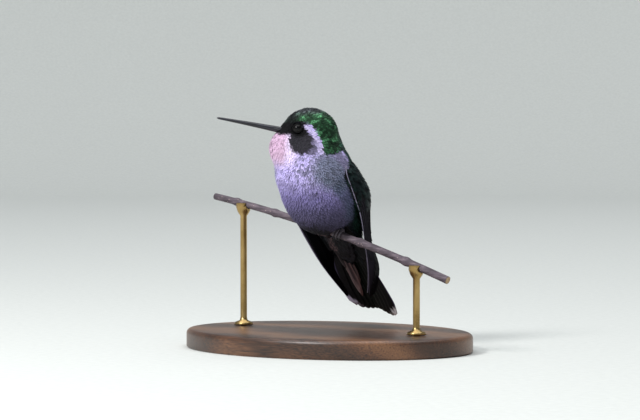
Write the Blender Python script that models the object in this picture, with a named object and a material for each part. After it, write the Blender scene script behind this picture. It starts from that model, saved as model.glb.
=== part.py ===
"""A perched hummingbird, life size, gripping a cut length of twig on a turned display base.

The bird faces -Y with +Z up, so its left side is +X, and its head is turned to its right.
Distances are in metres. The origin is the middle of the underside of the base.
"""

import math

import bmesh
import bpy
from mathutils import Matrix, Vector

MM = 0.001
GAP = 0.3 * MM  # clearance between neighbouring pieces
MERGE = 0.00001  # closer vertices than this are one
FRONT = Vector((0, -1, 0))
LEFT = Vector((1, 0, 0))
UP = Vector((0, 0, 1))

# Perch and stand
PERCH_HEIGHT = 38 * MM  # axis of the twig under the bird, above the table
PERCH_LENGTH = 94 * MM
PERCH_RADIUS = 1.15 * MM
PERCH_SLOPE = math.radians(14.5)  # the twig falls towards the bird's left
PERCH_SAG = 0.95  # how fast the slope steepens to the left, per metre
TWIG_KNOTS = (-0.40, -0.23, 0.14, 0.33)  # buds, as shares of the twig's length
BASE_LENGTH = 100 * MM
BASE_DEPTH = 76 * MM
BASE_HEIGHT = 6 * MM
BASE_EDGE = 1.6 * MM
ROD_RADIUS = 1.1 * MM
ROD_OFFSET = 35 * MM  # from the middle of the base to each rod
ROD_FLANGE = 3.2 * MM
CUP_RADIUS = 2.5 * MM

# Posture
TRUNK_LEAN = math.radians(30)  # trunk from the vertical
TAIL_LEAN = math.radians(42)  # tail from the vertical
HEAD_TURN = math.radians(42)  # head towards the bird's right
HEAD_PITCH = math.radians(4)
BILL_PITCH = math.radians(12)
HEAD_CENTRE = Vector((0, -10.6, 31.4)) * MM  # from the middle of the perch

# Flesh with its coat: name, centre, half sizes (side, depth, along), lean from the vertical
TRUNK_MASSES = (
    ("ribs", (0, -3.8, 13.8), (13.0, 13.4, 16.4), TRUNK_LEAN),
    ("breast", (0, -9.7, 18.8), (11.6, 10.6, 11.4), 0.25 * TRUNK_LEAN),
    ("belly", (0, -2.8, 8.4), (11.8, 11.4, 8.0), 0),
    ("shoulders", (0, -5.0, 21.0), (11.8, 8.8, 7.0), TRUNK_LEAN),
    ("throat base", (0, -9.6, 25.2), (9.6, 9.2, 8.0), 0),
    ("nape", (0, -5.4, 25.4), (8.4, 8.8, 8.8), 0),
    ("rump", (0, 5.8, 5.6), (9.0, 5.2, 11.0), 0.5 * (TRUNK_LEAN + TAIL_LEAN)),
    ("vent", (0, 7.6, -2.4), (7.4, 3.6, 11.5), TAIL_LEAN),
)
# The same on the head: centre and half sizes as (forward, side, up) of the head
HEAD_MASSES = (
    ("skull", (-0.9, 0, 0.1), (9.2, 6.9, 8.1)),
    ("brow", (3.6, 0, -0.2), (5.4, 4.9, 5.0)),
    ("bill root", (6.6, 0, -0.7), (3.6, 2.5, 2.3)),
    ("cheeks", (0.6, 0, -3.0), (7.0, 7.1, 6.0)),
    ("throat", (5.4, 0, -5.5), (6.9, 5.9, 6.8)),
)
FLESH_VOXEL = 1.12 * MM
FLESH_SMOOTHING = 16
FLESH_SWELL = 0.22 * MM  # what the smoothing takes off
FLESH_KEPT = 0.15  # share of the fused body's triangles that its shape needs
NECK_TOP = 26.4 * MM  # cuts between head, neck and trunk, above the perch
NECK_BOTTOM = 22.4 * MM
NECK_CUT_TILT = math.radians(10)  # the cuts fall towards the breast

# Bill and eyes, in the head's own frame
BILL_ROOT = Vector((8.3, 0, 0.0)) * MM
BILL_LENGTH = 21.0 * MM
BILL_HALF_WIDTH = 1.15 * MM
BILL_HALF_HEIGHT = 1.1 * MM
BILL_TIP_SHARE = 0.3  # size at the tip against the root
BILL_DROOP = 0.35 * MM
BILL_SLIT = 0.12 * MM
EYE_PLACE = Vector((4.0, 4.75, 1.0)) * MM
EYE_RADIUS = 1.7 * MM

# Tail
TAIL_ROOT = Vector((0, 1.8, 3.8)) * MM  # from the middle of the perch
TAIL_LENGTH = 42.6 * MM
TAIL_SWING = math.radians(2.6)  # tail towards the bird's right
TAIL_ROLL = math.radians(10)  # tail's left side dips with the twig
TAIL_ROOT_HALF_WIDTH = 4.2 * MM
TAIL_HALF_WIDTH = 12.2 * MM
TAIL_THICKNESS = 1.1 * MM
TAIL_TIP_THICKNESS = 0.7 * MM
TAIL_FEATHERS = 10
TAIL_ROWS = 8
TAIL_NOTCH = 1.4 * MM  # the middle feathers end this much short of the longest
TAIL_ARCH = 1.3 * MM  # the middle of the fan stands above its edges

# Folded wings: points of the left wing's two long edges, from the shoulder to the tip
WING_LEADING_EDGE = (
    (9.8, -3.6, 23.6),
    (12.3, -6.4, 18.6),
    (13.5, -4.2, 12.0),
    (13.6, -0.4, 4.4),
    (11.7, 4.2, -4.2),
    (9.0, 9.5, -13.0),
    (4.4, 15.2, -22.0),
)
WING_TRAILING_EDGE = (
    (6.4, 1.6, 24.0),
    (4.4, 7.4, 19.6),
    (3.6, 11.4, 13.0),
    (4.2, 14.4, 5.4),
    (6.4, 16.2, -3.4),
    (9.8, 16.4, -12.4),
    (5.6, 17.6, -22.0),
)
WING_ARCH = (0.9, 3.2, 4.6, 2.4, 0.6, 0.4, 0.2)  # rise of its middle over the line between them
WING_ROOT_THICKNESS = 3.0 * MM
WING_TIP_THICKNESS = 0.8 * MM
WING_COVERT_SHARE = 0.40  # share of the wing's length under its coverts
FLIGHT_FEATHERS = 8
COVERT_FEATHERS = 5
WING_ROWS = 17
FEATHER_STEP = 0.28 * MM  # rise of each feather's edge over the next
WING_GAP = GAP + FEATHER_STEP / 2  # clearance round a wing, whose feathers stand out in steps
WING_LENGTH = 50 * MM  # from the shoulder to the tip, about
WING_WIDTH = 9 * MM  # its usual width when folded

# Legs and feet
FOOT_OFFSET = 4.8 * MM
TARSUS_LENGTH = 1.1 * MM  # what shows of it below the plumage
TARSUS_RADIUS = 0.55 * MM
TOE_RADIUS = 0.42 * MM
TOE_SPREAD = 1.15 * MM
GRIP_RADIUS = PERCH_RADIUS + GAP + TOE_RADIUS  # from the twig's axis to a toe's
PALM_HALF_SIZES = Vector((1.35, 0.75, 0.5)) * MM
FRONT_TOE_WRAP = math.radians(118)
BACK_TOE_WRAP = math.radians(88)
FOOT_POCKET = Vector((2.7, 2.95, 3.1)) * MM  # half sizes of the space left for it in the plumage
CLAW_LENGTH = 1.9 * MM
CLAW_RADIUS = 0.27 * MM


# ---------------------------------------------------------------- helpers


def material(name, colour, roughness, metallic=0.0):
    made = bpy.data.materials.new(name)
    made.use_nodes = True
    shader = made.node_tree.nodes["Principled BSDF"]
    shader.inputs["Base Color"].default_value = (*colour, 1)
    shader.inputs["Roughness"].default_value = roughness
    shader.inputs["Metallic"].default_value = metallic
    return made


def piece(name, bm, finish=None):
    """A new object from a bmesh, smooth shaded, in the finish given."""
    mesh = bpy.data.meshes.new(name)
    bm.to_mesh(mesh)
    bm.free()
    made = bpy.data.objects.new(name, mesh)
    bpy.context.scene.collection.objects.link(made)
    if finish:
        mesh.materials.append(finish)
    mesh.shade_smooth()
    mesh.set_sharp_from_angle(angle=math.radians(50))
    return made


def baked(obj):
    """Replaces the object's mesh by what its modifiers make of it."""
    graph = bpy.context.evaluated_depsgraph_get()
    mesh = bpy.data.meshes.new_from_object(obj.evaluated_get(graph))
    obj.modifiers.clear()
    obj.data = mesh
    return obj


def combine(obj, other, operation):
    """Joins, cuts or keeps the part shared with another object, which is used up."""
    step = obj.modifiers.new(operation.lower(), "BOOLEAN")
    step.operation = operation
    step.object = other
    bpy.context.view_layer.update()
    baked(obj)
    bpy.data.objects.remove(other)
    return obj


def close_up(bm):
    """Welds seams, fills open ends and turns every face outwards."""
    bmesh.ops.remove_doubles(bm, verts=bm.verts, dist=MERGE)
    rims = [edge for edge in bm.edges if edge.is_boundary]
    if rims:
        bmesh.ops.holes_fill(bm, edges=rims, sides=0)
    bmesh.ops.recalc_face_normals(bm, faces=bm.faces)


def swept(around, along, place):
    """A closed skin over a grid whose columns run round a section and whose rows run along it."""
    bm = bmesh.new()
    bmesh.ops.create_grid(bm, x_segments=around, y_segments=along, size=0.5)
    for vert in bm.verts:
        vert.co = place((vert.co.x + 0.5) % 1.0, vert.co.y + 0.5)
    close_up(bm)
    return bm


def spline(points, share):
    """A point on the smooth curve through the points given, at a share of its length."""
    last = len(points) - 1
    position = min(max(share, 0), 1) * last
    start = min(int(position), last - 1)
    t = position - start
    before, a, b, after = (points[min(max(start + i, 0), last)] for i in (-1, 0, 1, 2))
    slope_a = (b - before) / 2
    slope_b = (after - a) / 2
    return (
        a * (2 * t**3 - 3 * t**2 + 1)
        + slope_a * (t**3 - 2 * t**2 + t)
        + b * (3 * t**2 - 2 * t**3)
        + slope_b * (t**3 - t**2)
    )


def tube(path, radius, around, along, flat=1.0):
    """A swept rod: path(share) is its axis, radius(share) its size, flat its height over width."""

    def place(turn, share):
        step = 0.01
        heading = (path(min(share + step, 1)) - path(max(share - step, 0))).normalized()
        side = heading.cross(UP).normalized()
        top = side.cross(heading)
        angle = turn * math.tau
        return path(share) + radius(share) * (side * math.cos(angle) + top * math.sin(angle) * flat)

    return swept(around, along, place)


def eased(share):
    return share * share * (3 - 2 * share)


def blend(start, end, share):
    return start + (end - start) * share


def sphere(centre, half_sizes, turn=Matrix.Identity(3), fineness=3):
    """An ellipsoid as a bmesh."""
    bm = bmesh.new()
    size = Matrix.Diagonal((*half_sizes, 1))
    place = Matrix.Translation(centre) @ turn.to_4x4() @ size
    bmesh.ops.create_icosphere(bm, subdivisions=fineness, radius=1, matrix=place)
    return bm


# ---------------------------------------------------------------- frames


PERCH_MIDDLE = UP * PERCH_HEIGHT
HEAD_TURNED = Matrix.Rotation(-HEAD_TURN, 3, "Z")
HEAD_FORWARD = HEAD_TURNED @ (FRONT * math.cos(HEAD_PITCH) + UP * math.sin(HEAD_PITCH))
HEAD_SIDE = HEAD_TURNED @ LEFT
HEAD_UP = HEAD_FORWARD.cross(HEAD_SIDE)
HEAD_AXES = Matrix((HEAD_FORWARD, HEAD_SIDE, HEAD_UP)).transposed()
TAIL_DOWN = Vector((0, math.sin(TAIL_LEAN), -math.cos(TAIL_LEAN)))
TAIL_AXIS = TAIL_DOWN * math.cos(TAIL_SWING) - LEFT * math.sin(TAIL_SWING)
TAIL_LEFT = LEFT * math.cos(TAIL_SWING) + TAIL_DOWN * math.sin(TAIL_SWING)
TAIL_SIDE = Matrix.Rotation(TAIL_ROLL, 3, TAIL_AXIS) @ TAIL_LEFT
TAIL_TOP = TAIL_SIDE.cross(TAIL_AXIS)


def on_bird(point):
    """A point given in millimetres from the middle of the perch."""
    return PERCH_MIDDLE + Vector(point) * MM


def on_head(point):
    """A point given along the head's forward, side and up axes."""
    return PERCH_MIDDLE + HEAD_CENTRE + HEAD_AXES @ Vector(point)


def perch_axis(across):
    """The twig's axis at this distance to the bird's left."""
    fall = math.tan(PERCH_SLOPE) * across + PERCH_SAG * across**2
    return PERCH_MIDDLE + Vector((across, 0, -fall))


# ---------------------------------------------------------------- flesh


def swollen(half_sizes):
    """A mass's half sizes in metres, with what the smoothing takes off added."""
    return Vector(half_sizes) * MM + Vector((1, 1, 1)) * FLESH_SWELL


def whole_body():
    """Head, neck and trunk fused into one smooth body, before it is parted."""
    whole = bmesh.new()
    lumps = []
    for _name, centre, half_sizes, lean in TRUNK_MASSES:
        turn = Matrix.Rotation(lean, 3, "X")
        lumps.append(sphere(on_bird(centre), swollen(half_sizes), turn))
    for _name, centre, half_sizes in HEAD_MASSES:
        lumps.append(sphere(on_head(Vector(centre) * MM), swollen(half_sizes), HEAD_AXES))
    for lump in lumps:
        mesh = bpy.data.meshes.new("lump")
        lump.to_mesh(mesh)
        lump.free()
        whole.from_mesh(mesh)
        bpy.data.meshes.remove(mesh)
    body = piece("body", whole)
    fuse = body.modifiers.new("fuse", "REMESH")
    fuse.mode = "VOXEL"
    fuse.voxel_size = FLESH_VOXEL
    soften = body.modifiers.new("soften", "SMOOTH")
    soften.factor = 0.5
    soften.iterations = FLESH_SMOOTHING
    thin = body.modifiers.new("thin out", "DECIMATE")
    thin.ratio = FLESH_KEPT
    return baked(body)


def slab_of(body, name, finish, above=None, below=None):
    """The stretch of the body between two cuts, closed where it was cut."""
    bm = bmesh.new()
    bm.from_mesh(body.data)
    normal = Matrix.Rotation(NECK_CUT_TILT, 3, "X") @ UP
    middle = HEAD_CENTRE.y
    for height, side in ((above, 1), (below, -1)):
        if height is None:
            continue
        point = PERCH_MIDDLE + Vector((0, middle, height + side * GAP / 2))
        bmesh.ops.bisect_plane(
            bm,
            geom=bm.verts[:] + bm.edges[:] + bm.faces[:],
            dist=MERGE,
            plane_co=point,
            plane_no=normal * side,
            clear_inner=True,
        )
    close_up(bm)
    bmesh.ops.triangulate(bm, faces=[face for face in bm.faces if len(face.verts) > 4])
    return piece(name, bm, finish)


def head_cutters():
    """What the head is hollowed by: two eye sockets and the root of the bill."""
    for side in (1, -1):
        place = Vector((EYE_PLACE.x, side * EYE_PLACE.y, EYE_PLACE.z))
        half_sizes = Vector((1, 1, 1)) * (EYE_RADIUS + GAP)
        yield piece("socket", sphere(on_head(place), half_sizes, fineness=2))
    yield piece("bill root", bill_bmesh(0, grow=GAP))


def make_flesh(finish):
    body = whole_body()
    head = slab_of(body, "head", finish, above=NECK_TOP)
    slab_of(body, "neck", finish, above=NECK_BOTTOM, below=NECK_TOP)
    trunk = slab_of(body, "trunk", finish, below=NECK_BOTTOM)
    bpy.data.objects.remove(body)
    for cutter in head_cutters():
        combine(head, cutter, "DIFFERENCE")
    for side in (1, -1):
        wing_way = wing_bmesh(side, 0, 1, FLIGHT_FEATHERS, grow=WING_GAP)
        combine(trunk, piece("wing way", wing_way), "DIFFERENCE")
        combine(trunk, piece("foot way", foot_pocket(side)), "DIFFERENCE")
    combine(trunk, piece("twig way", perch_bmesh(grow=GAP)), "DIFFERENCE")
    combine(trunk, piece("tail way", tail_bmesh(grow=GAP)), "DIFFERENCE")


# ---------------------------------------------------------------- bill and eyes


def bill_axis(share):
    """The line between the two halves of the bill, drooping slightly to the tip."""
    run = share * BILL_LENGTH
    rise = math.tan(BILL_PITCH - HEAD_PITCH) * run - BILL_DROOP * share**2
    return on_head(BILL_ROOT + Vector((run, 0, rise)))


def bill_size(share):
    """Size along the bill as a share of the root: a quick taper, then a slow one."""
    return blend(BILL_TIP_SHARE, 1, (1 - share) ** 1.25)


def bill_bmesh(half, grow=0):
    """half is 1 for the upper bill, -1 for the lower and 0 for both, grown for a cutter."""

    def place(turn, share):
        size = bill_size(share)
        height = BILL_HALF_HEIGHT * size + grow
        width = BILL_HALF_WIDTH * size + grow
        if half == 0:
            across = width * math.cos(turn * math.tau)
            up = height * math.sin(turn * math.tau)
        else:
            arc = math.pi * min(turn / 0.75, 1)
            floor = max(turn / 0.75 - 1, 0) * 3
            across = width * (math.cos(arc) if floor == 0 else 2 * floor - 1)
            up = half * (BILL_SLIT / 2 + height * math.sin(arc) * (1 if half > 0 else 0.85))
        return bill_axis(share) + HEAD_SIDE * across + HEAD_UP * up

    return swept(12, 11, place)


def make_bill(finish):
    piece("bill_upper", bill_bmesh(1), finish)
    piece("bill_lower", bill_bmesh(-1), finish)


def make_eyes(finish):
    for name, side in (("eye_left", 1), ("eye_right", -1)):
        place = Vector((EYE_PLACE.x, side * EYE_PLACE.y, EYE_PLACE.z))
        bm = bmesh.new()
        where = Matrix.Translation(on_head(place)) @ HEAD_AXES.to_4x4()
        bmesh.ops.create_uvsphere(
            bm, u_segments=14, v_segments=9, radius=EYE_RADIUS, matrix=where
        )
        piece(name, bm, finish)


# ---------------------------------------------------------------- tail


def fan_step(across, count):
    """A saw edge from 0 to 1 over each of the fan's feathers, from each side to the middle."""
    place = abs(across) * count / 2
    return place - math.floor(min(place, count / 2 - 0.001))


def tail_length(across):
    """The fan's length at this share of its half width: rounded sides and a shallow notch."""
    outer = abs(across)
    rounded = 1 - 0.085 * outer**4
    notch = TAIL_NOTCH * (1 - outer) ** 2
    tips = 0.022 * (fan_step(across, TAIL_FEATHERS) - 0.5) ** 2 * 4
    return TAIL_LENGTH * (rounded - tips) - notch


def tail_point(across, share, level, grow=0):
    """A point of the tail: across from -1 to 1, share along it, level 1 on top and -1 below."""
    length = share * tail_length(across) + grow * (2 * share - 1)
    spread = blend(TAIL_ROOT_HALF_WIDTH, TAIL_HALF_WIDTH, math.sin(share * math.pi / 2))
    rounding = 1 - 0.16 * max(share - 0.8, 0) / 0.2
    side = across * (spread * rounding + grow)
    thickness = blend(TAIL_THICKNESS, TAIL_TIP_THICKNESS, eased(share)) / 2
    shingle = FEATHER_STEP * (fan_step(across, TAIL_FEATHERS) - 0.5) * share
    arch = -TAIL_ARCH * across * across * share
    height = arch + level * (thickness + grow) + shingle
    centre = PERCH_MIDDLE + TAIL_ROOT
    return centre + TAIL_AXIS * length + TAIL_SIDE * side + TAIL_TOP * height


def tail_bmesh(grow=0):
    def place(turn, share):
        if turn < 0.5:
            return tail_point(4 * turn - 1, share, 1, grow)
        return tail_point(3 - 4 * turn, share, -1, grow)

    return swept(4 * TAIL_FEATHERS, TAIL_ROWS, place)


# ---------------------------------------------------------------- wings


def wing_edges(side, share):
    """The wing's leading and trailing edge points at this share of its length."""
    flip = Vector((side, 1, 1))
    leading = spline([Vector(p) * MM for p in WING_LEADING_EDGE], share)
    trailing = spline([Vector(p) * MM for p in WING_TRAILING_EDGE], share)
    return leading * flip, trailing * flip


def wing_thickness(share):
    return blend(WING_ROOT_THICKNESS, WING_TIP_THICKNESS, min(share / 0.62, 1) ** 0.8)


def wing_point(side, share, chord, depth):
    """A point of the wing: chord from the leading edge (0) to the trailing edge (1)."""
    leading, trailing = wing_edges(side, share)
    line = trailing - leading
    outward = line.cross(UP) * side
    outward.normalize()
    arch = spline([Vector((rise, 0, 0)) * MM for rise in WING_ARCH], share).x
    bulge = arch * math.sin(math.pi * min(max(chord, 0), 1) ** 0.85)
    return PERCH_MIDDLE + leading + line * chord + outward * (bulge - depth)


def wing_step(chord, feathers):
    """A saw edge from 0 to 1 over each of the wing's feathers."""
    place = chord * feathers
    return place - math.floor(min(place, feathers - 0.001))


def wing_bmesh(side, start, end, feathers, grow=0):
    """The wing between two shares of its length, with the edges of its feathers in steps."""
    rows = round(WING_ROWS * (end - start))

    def place(turn, share):
        along = blend(start, end, share)
        outer = turn < 0.5
        chord = 2 * turn if outer else 2 - 2 * turn
        rim = math.sin(math.pi * min(max(chord, 0.0), 1)) ** 0.35
        thickness = wing_thickness(along)
        relief = FEATHER_STEP * (wing_step(chord, feathers) - 0.5) if grow == 0 else 0
        if outer:
            depth = -grow + thickness * 0.5 * (1 - rim) + relief * rim
        else:
            depth = thickness * (1 - 0.5 * (1 - rim)) + grow
        wider = chord + (2 * chord - 1) * grow / WING_WIDTH
        longer = along + (2 * share - 1) * grow / WING_LENGTH
        return wing_point(side, longer, wider, depth)

    return swept(4 * feathers, rows, place)


def make_wings(covert_finish, flight_finish):
    half_gap = GAP / WING_LENGTH
    for word, side in (("left", 1), ("right", -1)):
        coverts = wing_bmesh(side, 0, WING_COVERT_SHARE - half_gap, COVERT_FEATHERS)
        flight = wing_bmesh(side, WING_COVERT_SHARE + half_gap, 1, FLIGHT_FEATHERS)
        piece(f"wing_{word}_coverts", coverts, covert_finish)
        made = piece(f"wing_{word}_flight", flight, flight_finish)
        combine(made, piece("twig way", perch_bmesh(grow=GAP)), "DIFFERENCE")
        combine(made, piece("tail way", tail_bmesh(grow=GAP)), "DIFFERENCE")


# ---------------------------------------------------------------- feet


def foot_middle(side):
    """The point of the twig's axis under a foot."""
    return perch_axis(side * FOOT_OFFSET)


def toe_arc(side, across, start, end):
    """The path of a toe over the twig: across shifts it along the twig, angles are from the top."""
    along = (perch_axis(side * FOOT_OFFSET + MM) - perch_axis(side * FOOT_OFFSET - MM)).normalized()
    top = (UP - along * UP.dot(along)).normalized()
    middle = foot_middle(side) + along * across

    def path(share):
        angle = blend(start, end, share)
        return middle + GRIP_RADIUS * (top * math.cos(angle) + FRONT * math.sin(angle))

    return path


def toe_list(side):
    """Each toe's path: three to the front and one to the back."""
    toes = []
    for place in (-1, 0, 1):
        wrap = FRONT_TOE_WRAP * (1 if place == 0 else 0.9)
        toes.append((place * TOE_SPREAD, 0, wrap))
    toes.append((0, 0, -BACK_TOE_WRAP))
    return [(toe_arc(side, across, start, end), end) for across, start, end in toes]


def foot_pocket(side):
    """The hollow in the plumage that the leg and the foot stand in."""
    place = Matrix.Translation(foot_middle(side) + UP * 0.4 * MM)
    turn = Matrix.Rotation(PERCH_SLOPE, 4, "Y")
    size = Matrix.Diagonal((*FOOT_POCKET, 1))
    bm = bmesh.new()
    bmesh.ops.create_uvsphere(
        bm, u_segments=14, v_segments=9, radius=1, matrix=place @ turn @ size
    )
    return bm


def foot_bmesh_parts(side):
    """The palm, the toes and the tarsus of one foot, to be joined."""
    palm = foot_middle(side) + UP * GRIP_RADIUS
    yield sphere(palm, PALM_HALF_SIZES, Matrix.Rotation(PERCH_SLOPE, 3, "Y"), 2)
    for path, _end in toe_list(side):
        yield tube(path, lambda share: TOE_RADIUS * blend(1.05, 0.8, share), 6, 6)
    top = palm + UP * TARSUS_LENGTH
    yield tube(lambda share: blend(palm, top, share), lambda share: TARSUS_RADIUS, 8, 1)


def claw_bmesh(path, end):
    """A hooked claw carrying on the toe's arc, GAP beyond its tip."""
    arc_length = GRIP_RADIUS * abs(end)
    start_share = 1 + GAP / arc_length
    reach = CLAW_LENGTH / arc_length

    def axis(share):
        return path(start_share + reach * share)

    return tube(axis, lambda share: CLAW_RADIUS * blend(1, 0.35, share), 6, 4)


def make_legs(skin_finish, claw_finish):
    for word, side in (("left", 1), ("right", -1)):
        leg = None
        for part in foot_bmesh_parts(side):
            made = piece(f"leg_{word}" if leg is None else "toe", part, skin_finish)
            leg = made if leg is None else combine(leg, made, "UNION")
        for number, (path, end) in enumerate(toe_list(side), 1):
            piece(f"claw_{word}_{number}", claw_bmesh(path, end), claw_finish)


# ---------------------------------------------------------------- perch and stand


def perch_radius(share):
    """The twig swells softly at each bud."""
    swelling = sum(math.exp(-(((share - 0.5 - knot) / 0.012) ** 2)) for knot in TWIG_KNOTS)
    return PERCH_RADIUS * (1 + 0.28 * swelling) * blend(0.94, 1.06, share)


def perch_bmesh(grow=0):
    half = PERCH_LENGTH / 2

    def axis(share):
        return perch_axis(blend(-half, half, share))

    return tube(axis, lambda share: perch_radius(share) + grow, 8, 32)


def make_perch(finish):
    piece("perch", perch_bmesh(), finish)


def make_base(finish):
    bm = bmesh.new()
    oval = Matrix.Diagonal((BASE_LENGTH / 2, BASE_DEPTH / 2, 1, 1))
    place = Matrix.Translation((0, 0, BASE_HEIGHT / 2)) @ oval
    bmesh.ops.create_cone(
        bm, cap_ends=True, segments=40, radius1=1, radius2=1, depth=BASE_HEIGHT, matrix=place
    )
    top_rim = [e for e in bm.edges if all(v.co.z > BASE_HEIGHT * 0.99 for v in e.verts)]
    bmesh.ops.bevel(
        bm,
        geom=top_rim,
        offset=BASE_EDGE,
        offset_type="OFFSET",
        segments=2,
        profile=0.5,
        affect="EDGES",
        material=-1,
    )
    for side in (1, -1):
        socket = bmesh.new()
        place = Matrix.Translation((side * ROD_OFFSET, 0, BASE_HEIGHT))
        bmesh.ops.create_cone(
            socket,
            cap_ends=True,
            segments=16,
            radius1=ROD_RADIUS + GAP,
            radius2=ROD_RADIUS + GAP,
            depth=BASE_HEIGHT,
            matrix=place,
        )
        if side == 1:
            base = piece("stand_base", bm, finish)
        combine(base, piece("socket", socket), "DIFFERENCE")


def rod_bmesh(side):
    """A turned rod: a stem in the base, a flange on it, and a ball under the twig."""
    across = side * ROD_OFFSET
    top = perch_axis(across).z
    profile = (
        (0, BASE_HEIGHT / 2 + GAP),
        (ROD_RADIUS, BASE_HEIGHT / 2 + GAP),
        (ROD_RADIUS, BASE_HEIGHT + GAP),
        (ROD_FLANGE, BASE_HEIGHT + GAP),
        (ROD_FLANGE * 0.9, BASE_HEIGHT + GAP + 0.8 * MM),
        (ROD_RADIUS * 1.2, BASE_HEIGHT + GAP + 1.4 * MM),
        (ROD_RADIUS, BASE_HEIGHT + GAP + 2.4 * MM),
        (ROD_RADIUS, top - 1.6 * CUP_RADIUS),
        (CUP_RADIUS * 0.8, top - 1.05 * CUP_RADIUS),
        (CUP_RADIUS, top - 0.45 * CUP_RADIUS),
        (CUP_RADIUS * 0.96, top + 0.1 * CUP_RADIUS),
        (0, top + 0.1 * CUP_RADIUS),
    )
    bm = bmesh.new()
    verts = [bm.verts.new((across + radius, 0, height)) for radius, height in profile]
    edges = [bm.edges.new(pair) for pair in zip(verts, verts[1:])]
    bmesh.ops.spin(
        bm,
        geom=verts + edges,
        cent=(across, 0, 0),
        axis=UP,
        angle=math.tau,
        steps=12,
        use_merge=True,
    )
    close_up(bm)
    return bm


def make_rods(finish):
    for word, side in (("left", 1), ("right", -1)):
        rod = piece(f"stand_rod_{word}", rod_bmesh(side), finish)
        combine(rod, piece("cradle", perch_bmesh(grow=GAP)), "DIFFERENCE")


# ---------------------------------------------------------------- build


def clear_scene():
    for obj in list(bpy.data.objects):
        bpy.data.objects.remove(obj)


def main():
    clear_scene()
    plumage = material("plumage", (0.30, 0.29, 0.33), 0.75)
    crown = material("crown", (0.05, 0.16, 0.10), 0.4)
    flight = material("flight feathers", (0.03, 0.03, 0.035), 0.5)
    horn = material("horn", (0.02, 0.02, 0.025), 0.35)
    cornea = material("cornea", (0.01, 0.01, 0.012), 0.08)
    leg_skin = material("leg skin", (0.06, 0.05, 0.05), 0.6)
    bark = material("bark", (0.16, 0.13, 0.12), 0.85)
    walnut = material("walnut", (0.09, 0.05, 0.03), 0.45)
    brass = material("brass", (0.55, 0.42, 0.2), 0.3, metallic=1.0)
    make_flesh(plumage)
    make_bill(horn)
    make_eyes(cornea)
    make_wings(crown, flight)
    piece("tail", tail_bmesh(), flight)
    make_legs(leg_skin, horn)
    make_perch(bark)
    make_base(walnut)
    make_rods(brass)


main()
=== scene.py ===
# %% [markdown]
# # A perched hummingbird on a display stand
# The bird is small enough to sit in a hand, so every finish here is worked out at the scale of
# tenths of a millimetre. The solids give the outline, the posture and the size. This script lays
# the looks over them: a skin under a coat of small feathers, quills for wings and tail, horn,
# scales and bark. Nothing in the solids is moved.

# %% Load the solids as a fixed frame
import math

import bmesh
import bpy
import numpy as np
from mathutils import Matrix, Vector, noise
from mathutils.bvhtree import BVHTree


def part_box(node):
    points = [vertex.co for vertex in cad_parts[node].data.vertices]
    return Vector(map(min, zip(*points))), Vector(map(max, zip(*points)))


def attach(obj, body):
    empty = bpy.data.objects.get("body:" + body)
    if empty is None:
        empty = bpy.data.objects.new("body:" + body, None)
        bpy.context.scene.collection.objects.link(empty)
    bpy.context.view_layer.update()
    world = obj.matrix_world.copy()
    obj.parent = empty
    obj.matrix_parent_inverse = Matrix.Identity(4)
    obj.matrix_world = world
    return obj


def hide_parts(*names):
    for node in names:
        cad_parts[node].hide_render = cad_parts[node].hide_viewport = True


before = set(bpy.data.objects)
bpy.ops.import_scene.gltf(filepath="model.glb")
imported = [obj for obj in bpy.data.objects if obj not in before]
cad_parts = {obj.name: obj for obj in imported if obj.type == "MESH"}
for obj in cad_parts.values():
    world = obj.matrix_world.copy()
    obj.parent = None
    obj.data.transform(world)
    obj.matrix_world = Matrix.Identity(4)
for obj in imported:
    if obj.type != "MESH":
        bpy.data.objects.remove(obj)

MM = 0.001
SIDES = (("left", 1), ("right", -1))
UP = Vector((0, 0, 1))
FRONT = Vector((0, -1, 0))
LEFT = Vector((1, 0, 0))
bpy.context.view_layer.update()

# %% [markdown]
# ## Landmarks
# A maker marks a few places before starting: the middle of the twig, the two eyes, the root of
# the bill. They are read from the solids, so the looks can't slip off them. The head has its own
# axes, because it is turned to the bird's right, and its markings are placed along them.

# %% Find the twig, the head and its axes
EYE_AHEAD = 4.0 * MM  # from the head's centre to the eyes
EYE_ABOVE = 1.0 * MM
HEAD_PITCH = math.radians(4)


def tree_of(*names):
    """A search tree over one or more solids."""
    corners = []
    faces = []
    for name in names:
        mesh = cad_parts[name].data
        start = len(corners)
        corners += [vert.co.copy() for vert in mesh.vertices]
        faces += [[start + index for index in face.vertices] for face in mesh.polygons]
    return BVHTree.FromPolygons(corners, faces)


def centre_of(name):
    """The middle of a solid's box."""
    low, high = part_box(name)
    return (low + high) / 2


def twig_middle():
    """The twig's axis over the middle of the base, halfway between its upper and lower faces."""
    twig = tree_of("perch")
    top = twig.ray_cast(UP, -UP)[0]
    bottom = twig.ray_cast(Vector(), UP)[0]
    return (top + bottom) / 2


PERCH = twig_middle()
eyes = {1: centre_of("eye_left"), -1: centre_of("eye_right")}
HEAD_SIDE = (eyes[1] - eyes[-1]).normalized()
head_level = HEAD_SIDE.cross(UP)
HEAD_FORWARD = head_level * math.cos(HEAD_PITCH) + UP * math.sin(HEAD_PITCH)
HEAD_UP = HEAD_FORWARD.cross(HEAD_SIDE)
HEAD_AXES = Matrix((HEAD_FORWARD, HEAD_SIDE, HEAD_UP)).transposed()
HEAD = (eyes[1] + eyes[-1]) / 2 - HEAD_FORWARD * EYE_AHEAD - HEAD_UP * EYE_ABOVE
EYE_RADIUS = (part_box("eye_left")[1].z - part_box("eye_left")[0].z) / 2
print("twig middle", PERCH, "head", HEAD, "eye radius in mm", round(EYE_RADIUS / MM, 2))

# %% Name places from the twig and the head
def on_bird(point):
    """A place given in millimetres from the middle of the twig."""
    return PERCH + Vector(point) * MM


def on_head(point):
    """A place given in millimetres along the head's forward, side and up axes."""
    return HEAD + HEAD_AXES @ (Vector(point) * MM)


def blend(start, end, share):
    """The value a share of the way from start to end."""
    return start + (end - start) * share


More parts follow.
